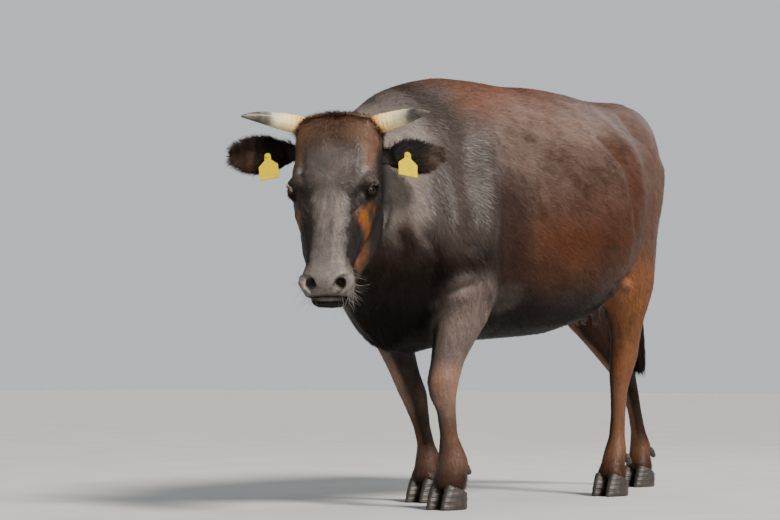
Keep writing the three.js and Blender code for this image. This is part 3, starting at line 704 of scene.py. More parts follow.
def lie_of_coat(points, normals, shares):
    """The way the hair lies on the skin at each point, as unit vectors along the surface."""
    x, y, z = points.T
    flow = np.zeros_like(points)
    trunk = np.stack([np.zeros_like(x), np.ones_like(x), -0.30 - 1.1 * ramp(y, 0.35, 0.85)], 1)
    trunk[:, 2] -= 0.6 * ramp(y, -0.35, -0.6) + 0.35 * ramp(z, 1.25, 0.9) * ramp(z, 0.55, 0.75)
    flow += trunk * part_map.share(shares, "trunk", "udder")[:, None]
    flow += np.array((-0.30, 0.80, -0.62)) * part_map.share(shares, "neck")[:, None]
    flow += np.array((0.0, 0.18, -1.0)) * part_map.share(shares, *LEG_NODES)[:, None]
    flow += np.array((0.0, 0.05, -1.0)) * part_map.share(shares, "tail")[:, None]
    places = to_head(points)
    from_whorl = unit((places - WHORL) * (1.0, 1.1, 1.0))
    down_face = np.array((0, 0.45, -0.9))
    cheek = ramp(places[:, 1], 20, 90)[:, None]
    face = unit(from_whorl * (1 - cheek) + down_face * cheek) @ HEAD_AXES.T
    flow += face * part_map.share(shares, "head")[:, None]
    for side, name in pair("ear"):
        flow += EAR_WAYS[side] * part_map.share(shares, name)[:, None]
    turn = 0.20 * coat_noise(points, 0.09) + 0.14 * coat_noise(points + 3.0, 0.022)
    flow = laid(flow, normals)
    return unit(flow + np.cross(normals, flow) * turn[:, None])


def streaks(points, flow, size, reach):
    """Noise drawn out along the hair, about -1 to 1."""
    steps = np.linspace(-1, 1, 5)
    return sum(coat_noise(points + flow * (reach * step), size) for step in steps) / 2.6


# ---- the coat's markings, with painted sheen and painted shade
DARK = np.array((0.011, 0.0072, 0.0056))
UMBER = np.array((0.028, 0.0150, 0.0105))
RUST = np.array((0.130, 0.040, 0.012))
# grey-brown: the tone of the teats, hind cannons and face, and the colour of painted sheen on the shoulders
# and forelegs
GREY_BROWN = np.array((0.058, 0.043, 0.036))
# painted sheen: the grey of light glancing along the hair, for the ribs, back and rump
SHEEN_GREY = np.array((0.110, 0.075, 0.060))
# ash grey: the grey hair of the forehead and muzzle, and the colour of painted sheen on the neck, nose and
# brow
ASH = np.array((0.112, 0.092, 0.080))
SHIN = np.array((0.115, 0.041, 0.012))
AMBER = np.array((0.30, 0.095, 0.013))
TAN = np.array((0.125, 0.062, 0.034))
SLATE = np.array((0.019, 0.0155, 0.0140))


def blob(points, centre, radii):
    """1 at a place and 0 beyond its radii, with a soft edge."""
    gap = np.linalg.norm((points - np.array(centre)) / np.array(radii), axis=1)
    return ramp(gap, 1.0, 0.35)


def coat_colour(points, normals, shares):
    """The coat's colour in linear light: near-black in front, rust on the back, barrel and hind legs, with
    painted sheen and painted shade over them.
    """
    x, y, z = points.T
    y = y + 0.05 * coat_noise(points, 0.22) + 0.03 * coat_noise(points, 0.07)
    drift = coat_noise(points, 0.16) * 0.5 + coat_noise(points + 7, 0.05) * 0.35
    drift = drift + coat_noise(points, 0.018) * 0.3
    colour = DARK + (UMBER - DARK) * ramp(drift, -0.5, 0.9)[:, None]

    def paint(amount, tint, breaking=0.35):
        nonlocal colour
        amount = np.clip(amount * (1 + breaking * drift), 0, 1)[:, None]
        colour = colour * (1 - amount) + tint * amount

    trunk = part_map.share(shares, "trunk", "udder", "tail")
    neck = part_map.share(shares, "neck")
    forelegs = part_map.share(shares, "foreleg_left", "foreleg_right")
    hindlegs = part_map.share(shares, "hindleg_left", "hindleg_right")
    barrel = trunk * ramp(y, -0.42, -0.16)
    paint(0.80 * barrel * ramp(z, 0.62, 0.80), RUST * 0.50 + UMBER * 0.4, 0.8)
    belly = band(z, 0.875 + 0.10 * y, 0.17, 0.02) * ramp(y, -0.25, 0.15)
    paint(0.70 * trunk * belly, RUST * 0.48, 0.8)
    # painted sheen: a grey patch along the upper ribs
    paint(0.5 * barrel * band(z, 1.03, 0.20, 0.02) * ramp(y, 0.40, -0.05), SHEEN_GREY * 1.15, 1.2)
    # the rump's rust hair mixed with painted sheen
    paint(0.70 * trunk * ramp(y, 0.36, 0.62), RUST * 0.30 + SHEEN_GREY * 0.80, 0.6)
    # painted sheen: grey-brown over the near-black coat of the shoulders, neck and upper arms
    front = neck + forelegs + trunk * ramp(y - 0.25 * (z - 0.9), -0.10, -0.46)
    paint(0.80 * np.clip(front, 0, 1) * ramp(z, 0.70, 0.90), GREY_BROWN * 1.1, 0.5)
    # painted sheen on the upper neck
    paint(0.75 * (neck + trunk * ramp(y, -0.55, -0.66)) * ramp(z, 0.78, 0.88), ASH * 1.95, 0.6)
    crest = ramp(z, 1.10, 1.24) * ramp(y, -0.42, -0.52)
    paint(0.7 * (neck + trunk) * crest, UMBER * 0.9, 0.5)
    withers = ramp(z, 1.12, 1.25) * ramp(y, 0.24, 0.02) * ramp(y, -0.50, -0.34)
    paint(0.85 * trunk * withers, RUST * 0.90, 0.6)
    # painted sheen: a grey band rising from behind the shoulder to the loin
    sheen = band(z, 1.12 + 0.26 * (y + 0.3), 0.17, 0.01) * ramp(y, -0.44, -0.26) * ramp(y, 0.58, 0.20)
    paint(0.70 * trunk * sheen, SHEEN_GREY * 1.55, 1.2)
    # painted shade in the hollow behind the shoulder
    behind = band(y, -0.33, 0.12, 0.02) * band(z, 0.85, 0.22, 0.08) * trunk
    paint(0.65 * behind, UMBER * 0.55 + RUST * 0.10, 0.5)
    # painted shade in the folds low on the neck, in front of the shoulder
    fold = ramp(np.hypot((y + 0.655) / 0.065, (z - 0.80) / 0.10), 1.0, 0.4)
    paint(0.8 * (neck + trunk) * fold, UMBER * 0.7, 0.5)
    # painted shadow on the chest and brisket, under the head and neck
    chest_shadow = ramp(z, 0.80, 0.68) * ramp(y, -0.38, -0.50) * (trunk + neck)
    paint(0.95 * chest_shadow, DARK * 0.85, 0.3)
    # painted shade on the underside of the belly
    paint(0.85 * trunk * ramp(z, 0.66, 0.56), DARK * 0.5, 0.3)
    # painted sheen behind the elbow
    elbow_sheen = ramp(np.hypot((y + 0.29) / 0.10, (z - 0.64) / 0.06), 1.0, 0.4)
    paint(0.5 * trunk * elbow_sheen, GREY_BROWN * 0.9, 0.9)
    # painted sheen: the forearms lightened grey-brown, and the knees mixed from rust hair and painted sheen
    paint(0.9 * forelegs * ramp(z, 0.80, 0.68), GREY_BROWN * 2.6, 0.4)
    paint(0.7 * forelegs * band(z, 0.37, 0.10, 0.03), SHIN * 1.5 + GREY_BROWN * 2.2, 0.6)
    paint(0.8 * forelegs * ramp(z, 0.33, 0.25), SHIN * 0.75, 0.5)
    # how far each point faces in between the legs, for painted shade
    inner = ramp(np.sign(x - MIDLINE_X) * normals[:, 0] + 0.15 * drift, 0.12, -0.55)
    thigh = hindlegs + trunk * ramp(y, 0.38, 0.52) * ramp(z, 0.86, 0.76)
    paint(0.9 * np.clip(thigh, 0, 1) * ramp(z, 0.94, 0.70), SHIN * 1.45, 0.7)
    paint(0.6 * hindlegs * ramp(z, 0.46, 0.34), SHIN * 0.8 + GREY_BROWN * 0.6, 0.5)
    # painted shade on the inner sides of the legs
    paint(0.92 * (hindlegs + forelegs) * inner * ramp(z, 0.12, 0.20), DARK, 0.2)
    near_tail = stroke(points, TAIL_LINE, 0.036, 1.0)
    near_tail = np.maximum(near_tail, part_map.share(shares, "tail") * ramp(z, 0.86, 0.76))
    paint(0.97 * near_tail, UMBER + (DARK - UMBER) * ramp(z, 0.95, 0.70)[:, None], 0.1)
    teats = ramp(z, 0.67, 0.645) * band(x, MIDLINE_X, 0.085, 0.065) * band(y, 0.53, 0.13, 0.09)
    paint(0.95 * teats, GREY_BROWN * 1.3 + TAN * 0.3, 0.2)
    paint(0.7 * (forelegs + hindlegs) * ramp(z, 0.16, 0.09), UMBER * 0.7)
    paint_head(points, shares, paint)
    return colour


def paint_head(points, shares, paint):
    """The markings of the face and the ears, painted over the body's, with painted sheen on the nose and brow
    and painted shade under the brows, behind the jaw and on the right cheek.
    """
    places = to_head(points)
    head = part_map.share(shares, "head")
    x, y, z = places.T
    mirrored = np.abs(places * (1, 0, 0)) + places * (0, 1, 1)
    streaky = coat_noise(places * (1.0, 1.0, 0.35), 9.0)
    paint(0.9 * head, SLATE * 1.25, 0.3)
    paint(0.80 * head * ramp(y, 50, 10) * ramp(z, -270, -200), GREY_BROWN * 1.1, 0.5)
    paint(0.6 * head * blob(places, (-6, -20, -160), (72, 60, 90)), ASH, 0.9)
    half = 44 - 6 * ramp(z, -280, -360) + 10 * ramp(z, -400, -440)
    wander = 7 * streaky + 5 * coat_noise(places, 22.0)
    # the light grey stripe down the nose: partly its grey hair, partly painted sheen
    bridge = ramp(y, 46, 12) * ramp(np.abs(x - 6) + wander, half + 12, half - 6)
    bridge = bridge * ramp(z + 0.35 * np.abs(x) + wander, -205, -262)
    paint(0.90 * head * bridge, ASH * (1.40 + 0.45 * streaky)[:, None], 0.4)
    paint(0.75 * head * ramp(z, -120, -40) * ramp(y, 90, 20), TAN * 0.95, 0.8)
    paint(0.95 * head * blob(mirrored, (88, 30, -62), (50, 75, 74)), TAN * 1.15, 0.6)
    paint(0.7 * head * blob(mirrored, (98, 12, -125), (28, 48, 64)), TAN, 0.7)
    # painted highlight on the knob of each brow
    paint(0.6 * head * blob(mirrored, (90, -6, -170), (17, 26, 22)), ASH * 1.9, 0.6)
    paint(0.4 * head * blob(places, (2, 0, -28), (26, 90, 85)), UMBER * 0.9, 0.9)
    # painted shade under each brow, down to the inner corner of the eye
    lid_shade = stroke(mirrored, [(108, 10, -208), (88, -6, -222), (64, -14, -250)], 13, 1.0)
    paint(0.85 * head * lid_shade, DARK * 1.1, 0.3)
    paint(head * ramp(np.linalg.norm(mirrored - EYE, axis=1), 36, 24), DARK * 0.6, 0.3)
    broken = 1 + 0.55 * streaky + 0.35 * coat_noise(places, 13.0)
    # painted shade: the tawny marks under the eye and on the cheek are painted weaker on the face's right
    # side
    side = np.where(x > 0, 1.0, 0.55)
    under_eye = stroke(mirrored, [(112, 28, -266), (118, 60, -266)], 14, 0.8)
    paint(np.clip(head * under_eye * side * broken, 0, 1), SHIN * 0.8, 0.8)
    stripe = [(92, 16, -300), (100, 50, -316), (106, 84, -336), (103, 104, -358), (90, 110, -388),
              (78, 104, -415)]
    cheek = np.clip(1.15 * stroke(mirrored, stripe, 17, 1.0) * side * broken, 0, 1)
    tawny = AMBER * 0.85 + (SHIN * 1.1 - AMBER * 0.85) * ramp(z, -345, -390)[:, None]
    paint(head * cheek, tawny, 0.8)
    # painted shadow in the hollow behind each jaw, on the head and neck
    jaw = [(116, 225, -180), (122, 252, -245), (112, 266, -305), (94, 246, -370), (70, 205, -430)]
    shade = stroke(mirrored, jaw, 17, 1.0)
    paint(0.9 * (head + part_map.share(shares, "neck")) * shade, DARK * 0.5, 0.2)
    paint(0.85 * head * ramp(z, -440, -472) * ramp(y, 66, 36), ASH * 1.4, 0.6)
    paint(0.95 * head * ramp(y, 44, 62) * ramp(z, -450, -490), DARK * 0.5, 0.3)
    ears = part_map.share(shares, "ear_left", "ear_right")
    outer = ramp(np.abs(x), 205, 275)
    paint(0.95 * ears, DARK * 0.45, 0.3)
    paint(0.65 * ears * outer * (0.6 + 0.6 * streaky), TAN * 0.75, 0.8)


# ---- tufts
TILES = {  # the OFBake map's corner and size for each part
    "trunk": (0.0, 0.0, 1.0, 0.5), "head": (0.0, 0.5, 0.5, 0.5), "foreleg_left": (0.5, 0.5, 0.1, 0.5),
    "foreleg_right": (0.6, 0.5, 0.1, 0.5), "hindleg_left": (0.7, 0.5, 0.1, 0.5),
    "hindleg_right": (0.8, 0.5, 0.1, 0.5), "tail": (0.9, 0.5, 0.1, 0.25), "ear_left": (0.9, 0.75, 0.05, 0.25),
    "ear_right": (0.95, 0.75, 0.05, 0.25),
}
TILE_OF = {"neck": "trunk", "udder": "trunk"}


class Unwrap:
    """Cylinder-like maps of the skin's parts, side by side in one square."""

    def __init__(self, points, labels):
        self.lines = {}
        for name in LEG_NODES + ["tail"]:
            own = points[labels == FLESH.index(name)]
            heights = np.linspace(own[:, 2].min(), own[:, 2].max(), 14)
            middles = [own[np.abs(own[:, 2] - height) < 0.05].mean(0) for height in heights]
            self.lines[name] = heights, np.array(middles)

    def place(self, name, points):
        """Each point's angle round its part, in turns, and its share of the way along it."""
        if name == "head":
            places = to_head(points)
            return np.arctan2(places[:, 0], 90 - places[:, 1]), (places[:, 2] + 560) / 600
        if name.startswith("ear"):
            along, across = ear_offsets(points, 1 if name == "ear_left" else -1)
            return np.arctan2(across[:, 2], across @ HEAD_AXES[:, 1] + 0.004), along / 0.24 + 0.15
        if name in self.lines:
            heights, middles = self.lines[name]
            middle = np.stack([np.interp(points[:, 2], heights, middles[:, axis]) for axis in range(3)], 1)
            angle = np.arctan2(points[:, 0] - middle[:, 0], middle[:, 1] - points[:, 1])
            return angle, (points[:, 2] - heights[0]) / (heights[-1] - heights[0])
        return np.arctan2(points[:, 0] - MIDLINE_X, 0.92 - points[:, 2]), (points[:, 1] + 1.0) / 2.2

    def __call__(self, points, labels):
        result = np.zeros((len(points), 2))
        for number, name in enumerate(FLESH):
            own = labels == number
            tile = TILE_OF.get(name, name)
            u0, v0, wide, high = TILES[tile]
            angle, along = self.place(tile, points[own])
            inset = 0.004
            result[own, 0] = u0 + inset + (wide - 2 * inset) * (angle / (2 * math.pi) + 0.5)
            result[own, 1] = v0 + inset + (high - 2 * inset) * np.clip(along, 0, 1)
        return result


class Roots:
    """Seeded random places on the skin, with what a tuft there needs to know."""

    def __init__(self, source, weight, count, seed):
        self.rng = np.random.default_rng(seed)
        points, triangles = source.points, source.triangles
        corners = points[triangles]
        area = np.linalg.norm(np.cross(corners[:, 1] - corners[:, 0], corners[:, 2] - corners[:, 0]), axis=1)
        reach = np.cumsum(area * weight[triangles].mean(1))
        chosen = np.searchsorted(reach, self.rng.random(count) * reach[-1])
        a, b = self.rng.random((2, count))
        flip = a + b > 1
        a[flip], b[flip] = 1 - a[flip], 1 - b[flip]
        mix = np.stack([1 - a - b, a, b], 1)[:, :, None]
        self.points = (points[triangles[chosen]] * mix).sum(1)
        self.normals = unit((source.normals[triangles[chosen]] * mix).sum(1))
        self.shares = part_map.shares(self.points)
        self.labels = self.shares.argmax(1)
        self.count = count


MOST_FACES = 198000  # in one piece
PATCH = 0.0014  # half the width of a tuft's place on the map


def tuft_mesh(name, rows, pattern, colours, uvs, patch):
    """A mesh of like tufts: rows holds each one's points, pattern its triangles, and patch how its points
    spread round its root's place on the OFBake map."""
    count, each = rows.shape[:2]
    faces = (np.arange(count)[:, None, None] * each + np.array(pattern)).reshape(-1, 3)
    mesh = new_mesh(name, rows.reshape(-1, 3), faces)
    give(mesh, "coat_colour", np.repeat(colours, each, 0))
    corners = (uvs[:, None] + patch).reshape(-1, 2)[faces.ravel()]
    mesh.uv_layers.new(name="OFBake").data.foreach_set("uv", corners.astype(np.float32).ravel())
    return mesh


def coat_piece(mesh, material):
    """A piece of hair, on the root like everything here."""
    mesh.materials.append(material)
    piece = new_object(mesh.name, mesh)
    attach(piece, "root")


def blade_mesh(name, lines, widths, sides, facing, colours, uvs):
    """Flat tapering blades. lines holds each blade's centre points, sides the way across it and facing the
    normal that it shades with."""
    count, steps = lines.shape[:2]
    taper = 1 - (np.arange(steps - 1) / (steps - 1)) ** 1.6 * 0.75
    half = sides[:, None, :] * (widths[:, None] * taper * 0.5)[:, :, None]
    rows = np.stack([lines[:, :-1] - half, lines[:, :-1] + half], 2).reshape(count, -1, 3)
    rows = np.concatenate([rows, lines[:, -1:]], 1)
    each = rows.shape[1]
    pattern = [face for a in range(0, each - 3, 2) for face in ((a, a + 3, a + 1), (a, a + 2, a + 3))]
    pattern.append((each - 3, each - 1, each - 2))
    ends = np.where(np.arange(each) % 2 == 0, -PATCH, PATCH)
    patch = np.column_stack([ends, np.linspace(-PATCH, PATCH, each)])
    patch[-1, 0] = 0
    mesh = tuft_mesh(name, rows, pattern, colours, uvs, patch)
    shading = mesh.attributes.new("custom_normal", "FLOAT_VECTOR", "POINT")
    shading.data.foreach_set("vector", np.repeat(facing, each, 0).astype(np.float32).ravel())
    return mesh


def make_tufts(name, roots, length, width, lift, material, steps=3, curl=0.0, flow=None, shade=1.0,
               spread=0.11):
    """Tufts at the roots, in as many pieces as the limit on faces needs. lift is how high the tip stands and
    curl how far it bends sideways, as shares of the length, and spread is how far the tufts' ways differ."""
    rng = roots.rng
    points, normals = roots.points, roots.normals
    if flow is None:
        flow = lie_of_coat(points, normals, roots.shares)
    side = np.cross(normals, flow)
    flow = unit(flow + side * rng.normal(0, spread, roots.count)[:, None])
    side = np.cross(normals, flow)
    length = length * rng.uniform(0.7, 1.25, roots.count)
    lift = lift * rng.uniform(0.4, 1.6, roots.count)
    t = np.linspace(0, 1, steps)[None, :, None]
    bend = rng.normal(0, 1, roots.count)[:, None, None] * curl
    phase = rng.uniform(0, 2 * math.pi, roots.count)[:, None, None]
    reach = length[:, None, None]
    lines = points[:, None] - normals[:, None] * 0.0003 + flow[:, None] * reach * t
    lines = lines + normals[:, None] * (lift * length)[:, None, None] * np.sin(t * math.pi * 0.5) ** 1.1
    lines = lines + side[:, None] * reach * (bend * t * t + curl * 0.35 * np.sin(t * 5 + phase) * t)
    roll = rng.normal(0, 0.16, roots.count)[:, None]
    across = unit(side * np.cos(roll) + normals * np.sin(roll))
    tone = np.exp(0.24 * streaks(points, flow, 0.0055, 0.014) + 0.14 * streaks(points, flow, 0.014, 0.03))
    colours = coat_colour(points, normals, roots.shares) * (shade * tone)[:, None]
    colours = colours * rng.uniform(0.85, 1.17, roots.count)[:, None]
    uvs = unwrap(points, roots.labels)
    each = 2 * (steps - 1) - 1
    pieces = math.ceil(roots.count * each / MOST_FACES)
    widths = width * rng.uniform(0.75, 1.25, roots.count)
    sway = rng.normal(0, 0.5 * spread + 0.06, (2, roots.count, 1))
    facing = unit(normals + side * sway[0] + flow * sway[1])
    for number, rows in enumerate(np.array_split(np.arange(roots.count), pieces)):
        title = f"{name}_{number + 1}" if pieces > 1 else name
        mesh = blade_mesh(title, *(part[rows] for part in (lines, widths, across, facing, colours, uvs)))
        coat_piece(mesh, material)


# ---- the coat, region by region
class Source:
    """The skin's mesh as arrays, to grow tufts from."""

    def __init__(self, skin):
        self.points, self.triangles = mesh_arrays(skin.data)
        self.normals = vertex_normals(self.points, self.triangles)
        self.shares = part_map.shares(self.points)
        self.labels = self.shares.argmax(1)


THIN = 1.0
TUFTS = {"body": 262000, "head": 98000, "coronets": 16000, "poll": 24000, "ears": 19000, "locks": 8500,
         "switch": 5200}


def grow(source, weight, region, seed):
    """Roots for one region's tufts, as dense as the weight says."""
    return Roots(source, weight, int(TUFTS[region] * THIN), seed)


def make_coat(source, material):
    """Short flat hair everywhere, and longer locks where the animal has them."""
    places = to_head(source.points)
    head = part_map.share(source.shares, "head")
    ears = part_map.share(source.shares, "ear_left", "ear_right")
    legs = part_map.share(source.shares, *LEG_NODES)
    pad = nose_pad(places) * head
    lids = np.zeros(len(places))
    for side in SIDES:
        lids = np.maximum(lids, ramp(np.linalg.norm(places - EYE * (side, 1, 1), axis=1), 27, 24))
    bare = np.clip(np.maximum(pad, lids), 0, 1)
    body = np.clip(1 - head - ears, 0, 1) * (1 + 0.9 * legs)
    roots = grow(source, body, "body", 11)
    z, y = roots.points[:, 2], roots.points[:, 1]
    on_legs = part_map.share(roots.shares, *LEG_NODES) * ramp(z, 0.75, 0.45)
    belly = ramp(z, 0.66, 0.56) * (1 - on_legs)
    length = 0.019 - 0.008 * on_legs + 0.003 * belly
    width, lift = 0.0017 - 0.0004 * on_legs, 0.10 + 0.04 * belly
    make_tufts("coat_body", roots, length, width, lift, material, curl=0.05)
    roots = grow(source, head * (1 - bare), "head", 12)
    lengthwise = to_head(roots.points)
    poll = ramp(lengthwise[:, 2], -150, -40)
    muzzle = ramp(lengthwise[:, 2], -380, -460)
    length = 0.0105 + 0.007 * poll - 0.0045 * muzzle
    width, lift = 0.0012 - 0.0003 * muzzle, 0.13 + 0.06 * poll
    make_tufts("coat_head", roots, length, width, lift, material, curl=0.06)
    make_poll(source, head, places, material)
    make_ear_hair(source, ears, material)
    height = source.points[:, 2]
    roots = grow(source, legs * ramp(height, 0.115, 0.095), "coronets", 61)
    flow = unit(np.array((0, 0, -1.0)) + 0.35 * roots.normals)
    length = np.full(roots.count, 0.016)
    make_tufts("coat_coronets", roots, length, 0.0010, 0.10, material, curl=0.05, flow=flow)


def nose_pad(places):
    """1 on the bare moist pad round and between the nostrils."""
    x, y, z = places[:, 0], places[:, 1], places[:, 2]
    high = ramp(z, -474 + 0.10 * np.abs(x), -484 + 0.10 * np.abs(x))
    return high * ramp(np.abs(x), 66, 56) * ramp(y, 42, 30)


def finish_skin(skin, source):
    """Paints the skin with the coat's own markings, and the bare pad of the nose."""
    places = to_head(source.points)
    moist = nose_pad(places) * part_map.share(source.shares, "head")
    flow = lie_of_coat(source.points, source.normals, source.shares)
    tone = np.exp(0.25 * streaks(source.points, flow, 0.010, 0.02))
    colour = coat_colour(source.points, source.normals, source.shares) * (0.85 * tone)[:, None]
    pad = np.array((0.115, 0.093, 0.077)) * (1 + 0.35 * coat_noise(source.points, 0.012))[:, None]
    colour = colour * (1 - moist[:, None]) + pad * moist[:, None]
    give(skin.data, "coat_colour", colour)
    give(skin.data, "moist", moist)
    skin.data.materials.append(skin_material())


def make_poll(source, head, places, material):
    """Longer curling locks on the poll and round the horns' roots."""
    crown = ramp(places[:, 2], -140, -20) * ramp(places[:, 1], 175, 110)
    collar = np.zeros(len(places))
    for side in SIDES:
        collar = np.maximum(collar, ramp(np.linalg.norm(places - (side * 116, 60, -8), axis=1), 62, 38))
    roots = grow(source, head * np.maximum(crown, collar), "poll", 21)
    x, y, z = to_head(roots.points).T
    flow = np.stack([x * 0.75, -25 - 0.5 * y, np.full(roots.count, -40.0)], 1)
    outward = unit(flow + 28 * coat_vector(roots.points, 0.022)) @ HEAD_AXES.T
    outward = laid(outward, roots.normals)
    length = 0.013 + 0.015 * ramp(z, -130, -30) * roots.rng.uniform(0.5, 1.3, roots.count)
    lift = 0.11 + 0.15 * ramp(np.abs(x), 70, 20) * ramp(z, -60, -20)
    make_tufts("coat_poll", roots, length, 0.0011, lift, material, steps=4, curl=0.35, flow=outward,
               spread=0.40)


def coat_vector(points, size):
    """Three noises that differ, as a vector at each point."""
    return np.stack([coat_noise(points + shift, size) for shift in (1.0, 5.0, 9.0)], 1)


def make_ear_hair(source, ears, material):
    """Short hair on the ears' backs, and long soft hair on the rims and inside."""
    roots = grow(source, ears, "ears", 31)
    make_tufts("coat_ears", roots, np.full(roots.count, 0.014), 0.0012, 0.12, material, curl=0.15, spread=0.2)
    for side, name in pair("ear"):
        own = ears * (source.labels == FLESH.index(name))
        facing = ramp(source.normals @ (-HEAD_AXES[:, 1]), 0.0, 0.5)
        _, across = ear_offsets(source.points, side)
        rim = ramp(np.linalg.norm(across, axis=1), 0.030, 0.050)
        roots = grow(source, own * np.maximum(facing * 0.7, rim), "locks", 32 + side)
        _, across = ear_offsets(roots.points, side)
        flow = unit(EAR_WAYS[side] * 0.75 + unit(across) * 0.5 - HEAD_AXES[:, 1] * 0.25)
        flow = laid(flow, roots.normals, 0.4)
        make_tufts(f"coat_{name}_locks", roots, np.full(roots.count, 0.024), 0.0010, 0.13, material, steps=5,
                   curl=0.22, flow=flow, shade=0.85, spread=0.25)


# ---- smooth pieces in place of faceted nodes
def smooth_piece(node, cell, blur, faces, shape=None):
    """A node's own form with its facets smoothed away, a hair inside it."""
    volume = Volume([node], cell, cell * 7)
    volume.values = volume.blurred(blur).astype(np.float32)
    points, quads = volume.surface()
    if shape is not None:
        normals = vertex_normals(points, quads)
        points = points + normals * shape(points)[:, None]
    quads = np.concatenate([quads[:, (0, 1, 2)], quads[:, (0, 2, 3)]])
    piece = new_object(f"{node}_smooth", thinned(new_mesh(node, points, quads), faces))
    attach(piece, "root")
    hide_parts(node)
    return piece


HORN_LINE = [(74, 66, -17), (118, 60, -6), (162, 48, 0), (208, 26, 3), (248, 0, -1), (276, -22, -10)]


def along_horn(points, side):
    """The share of the way from the horn's root to its tip."""
    line = from_head(np.array(HORN_LINE, float) * (side, 1, 1))
    lengths = np.concatenate([[0], np.cumsum(np.linalg.norm(np.diff(line, axis=0), axis=1))])
    nearest, share = np.full(len(points), np.inf), np.zeros(len(points))
    for number, (along, gap) in enumerate(along_path(points, line)):
        closer = gap < nearest
        nearest[closer] = gap[closer]
        start, end = lengths[number:number + 2]
        share[closer] = (start + along[closer] * (end - start)) / lengths[-1]
    return share


def make_horns(material):
    """Horns with low rings towards the root."""
    for side, name in pair("horn"):
        def rings(points):
            share = along_horn(points, side)
            wave = np.sin(share * 105 + 2.5 * coat_noise(points, 0.05)) * ramp(share, 0.62, 0.25)
            return 0.00045 * wave + 0.0004 * coat_noise(points, 0.008) * ramp(share, 0.9, 0.3) - 0.0006

        piece = smooth_piece(name, 0.0016, 0.0024, 14000, rings)
        points, _ = mesh_arrays(piece.data)
        give(piece.data, "along", along_horn(points, side))
        piece.data.materials.append(material)


def make_feet(material):
    """Claws and dewclaws with growth rings that fade at the sole, which stays flat on the floor."""
    for name in frame["nodes"]:
        if "hoof" not in name:
            continue

        def grooves(points):
            level = points[:, 2] + 0.004 * coat_noise(points, 0.03)
            rings = np.sin(level * 900) * 0.00035 + np.sin(level * 370 + 1) * 0.0004
            return rings * ramp(points[:, 2], 0.003, 0.012) + 0.0003 * coat_noise(points, 0.004) - 0.0004

        piece = smooth_piece(name, 0.0018, 0.0026, 1500 if "dewclaw" in name else 5000, grooves)
        points, _ = mesh_arrays(piece.data)
        points[:, 2] = np.maximum(points[:, 2], 0)
        piece.data.vertices.foreach_set("co", points.astype(np.float32).ravel())
        piece.data.materials.append(material)


def make_eyes(material):
    """Eyeballs with a slightly raised cornea."""
    for side, name in pair("eye"):
        mirror = np.array((side, 1, 1))
        shape = bmesh.new()
        bmesh.ops.create_icosphere(shape, subdivisions=5, radius=1.0)
        mesh = mesh_of(shape, name)
        points, _ = mesh_arrays(mesh)
        gaze = GAZE * mirror
        ahead = points @ gaze
        radius = EYE_RADIUS - 0.25 + 1.3 * ramp(ahead, 0.72, 0.92)
        placed = from_head(EYE * mirror + points * radius[:, None])
        mesh.vertices.foreach_set("co", placed.astype(np.float32).ravel())
        mesh.update()
        for title, axis in (("gaze", gaze), ("slit", LID_AXIS * mirror), ("rise", LID_UP * mirror)):
            give(mesh, title, points @ axis)
        piece = new_object(f"{name}_ball", mesh)
        piece.data.materials.append(material)
        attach(piece, "root")
        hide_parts(name)


def make_hairs(name, roots, tips, sag, radius, colours, material):
    """Single stout hairs: thin three-sided tapering rods from roots to tips, bowed by sag."""
    steps = 5
    count = len(roots)
    t = np.linspace(0, 1, steps)[None, :, None]
    line = roots[:, None] * (1 - t) + tips[:, None] * t + sag[:, None] * (4 * t * (1 - t))
    along = unit(tips - roots)
    side = unit(np.cross(along, np.array((0.13, 0.21, 0.97))))
    other = np.cross(along, side)
    edges = []
    for angle in (0, 2 * math.pi / 3, 4 * math.pi / 3):
        offset = side * math.cos(angle) + other * math.sin(angle)
        edges.append(line[:, :-1] + offset[:, None] * radius * (1 - 0.75 * t[:, :-1]))
    rows = np.stack(edges, 2).reshape(count, -1, 3)
    rows = np.concatenate([rows, line[:, -1:]], 1)
    each = rows.shape[1]
    last = each - 4
    pattern = []
    for ring in range(0, last, 3):
        for turn in range(3):
            a, b = ring + turn, ring + (turn + 1) % 3
            pattern += [(a, b, b + 3), (a, b + 3, a + 3)]
    pattern += [(last + turn, last + (turn + 1) % 3, each - 1) for turn in range(3)]
    patch = np.random.default_rng(3).uniform(-PATCH, PATCH, (each, 2))
    uvs = unwrap(roots, np.full(count, FLESH.index("head")))
    coat_piece(tuft_mesh(name, rows, pattern, colours, uvs, patch), material)


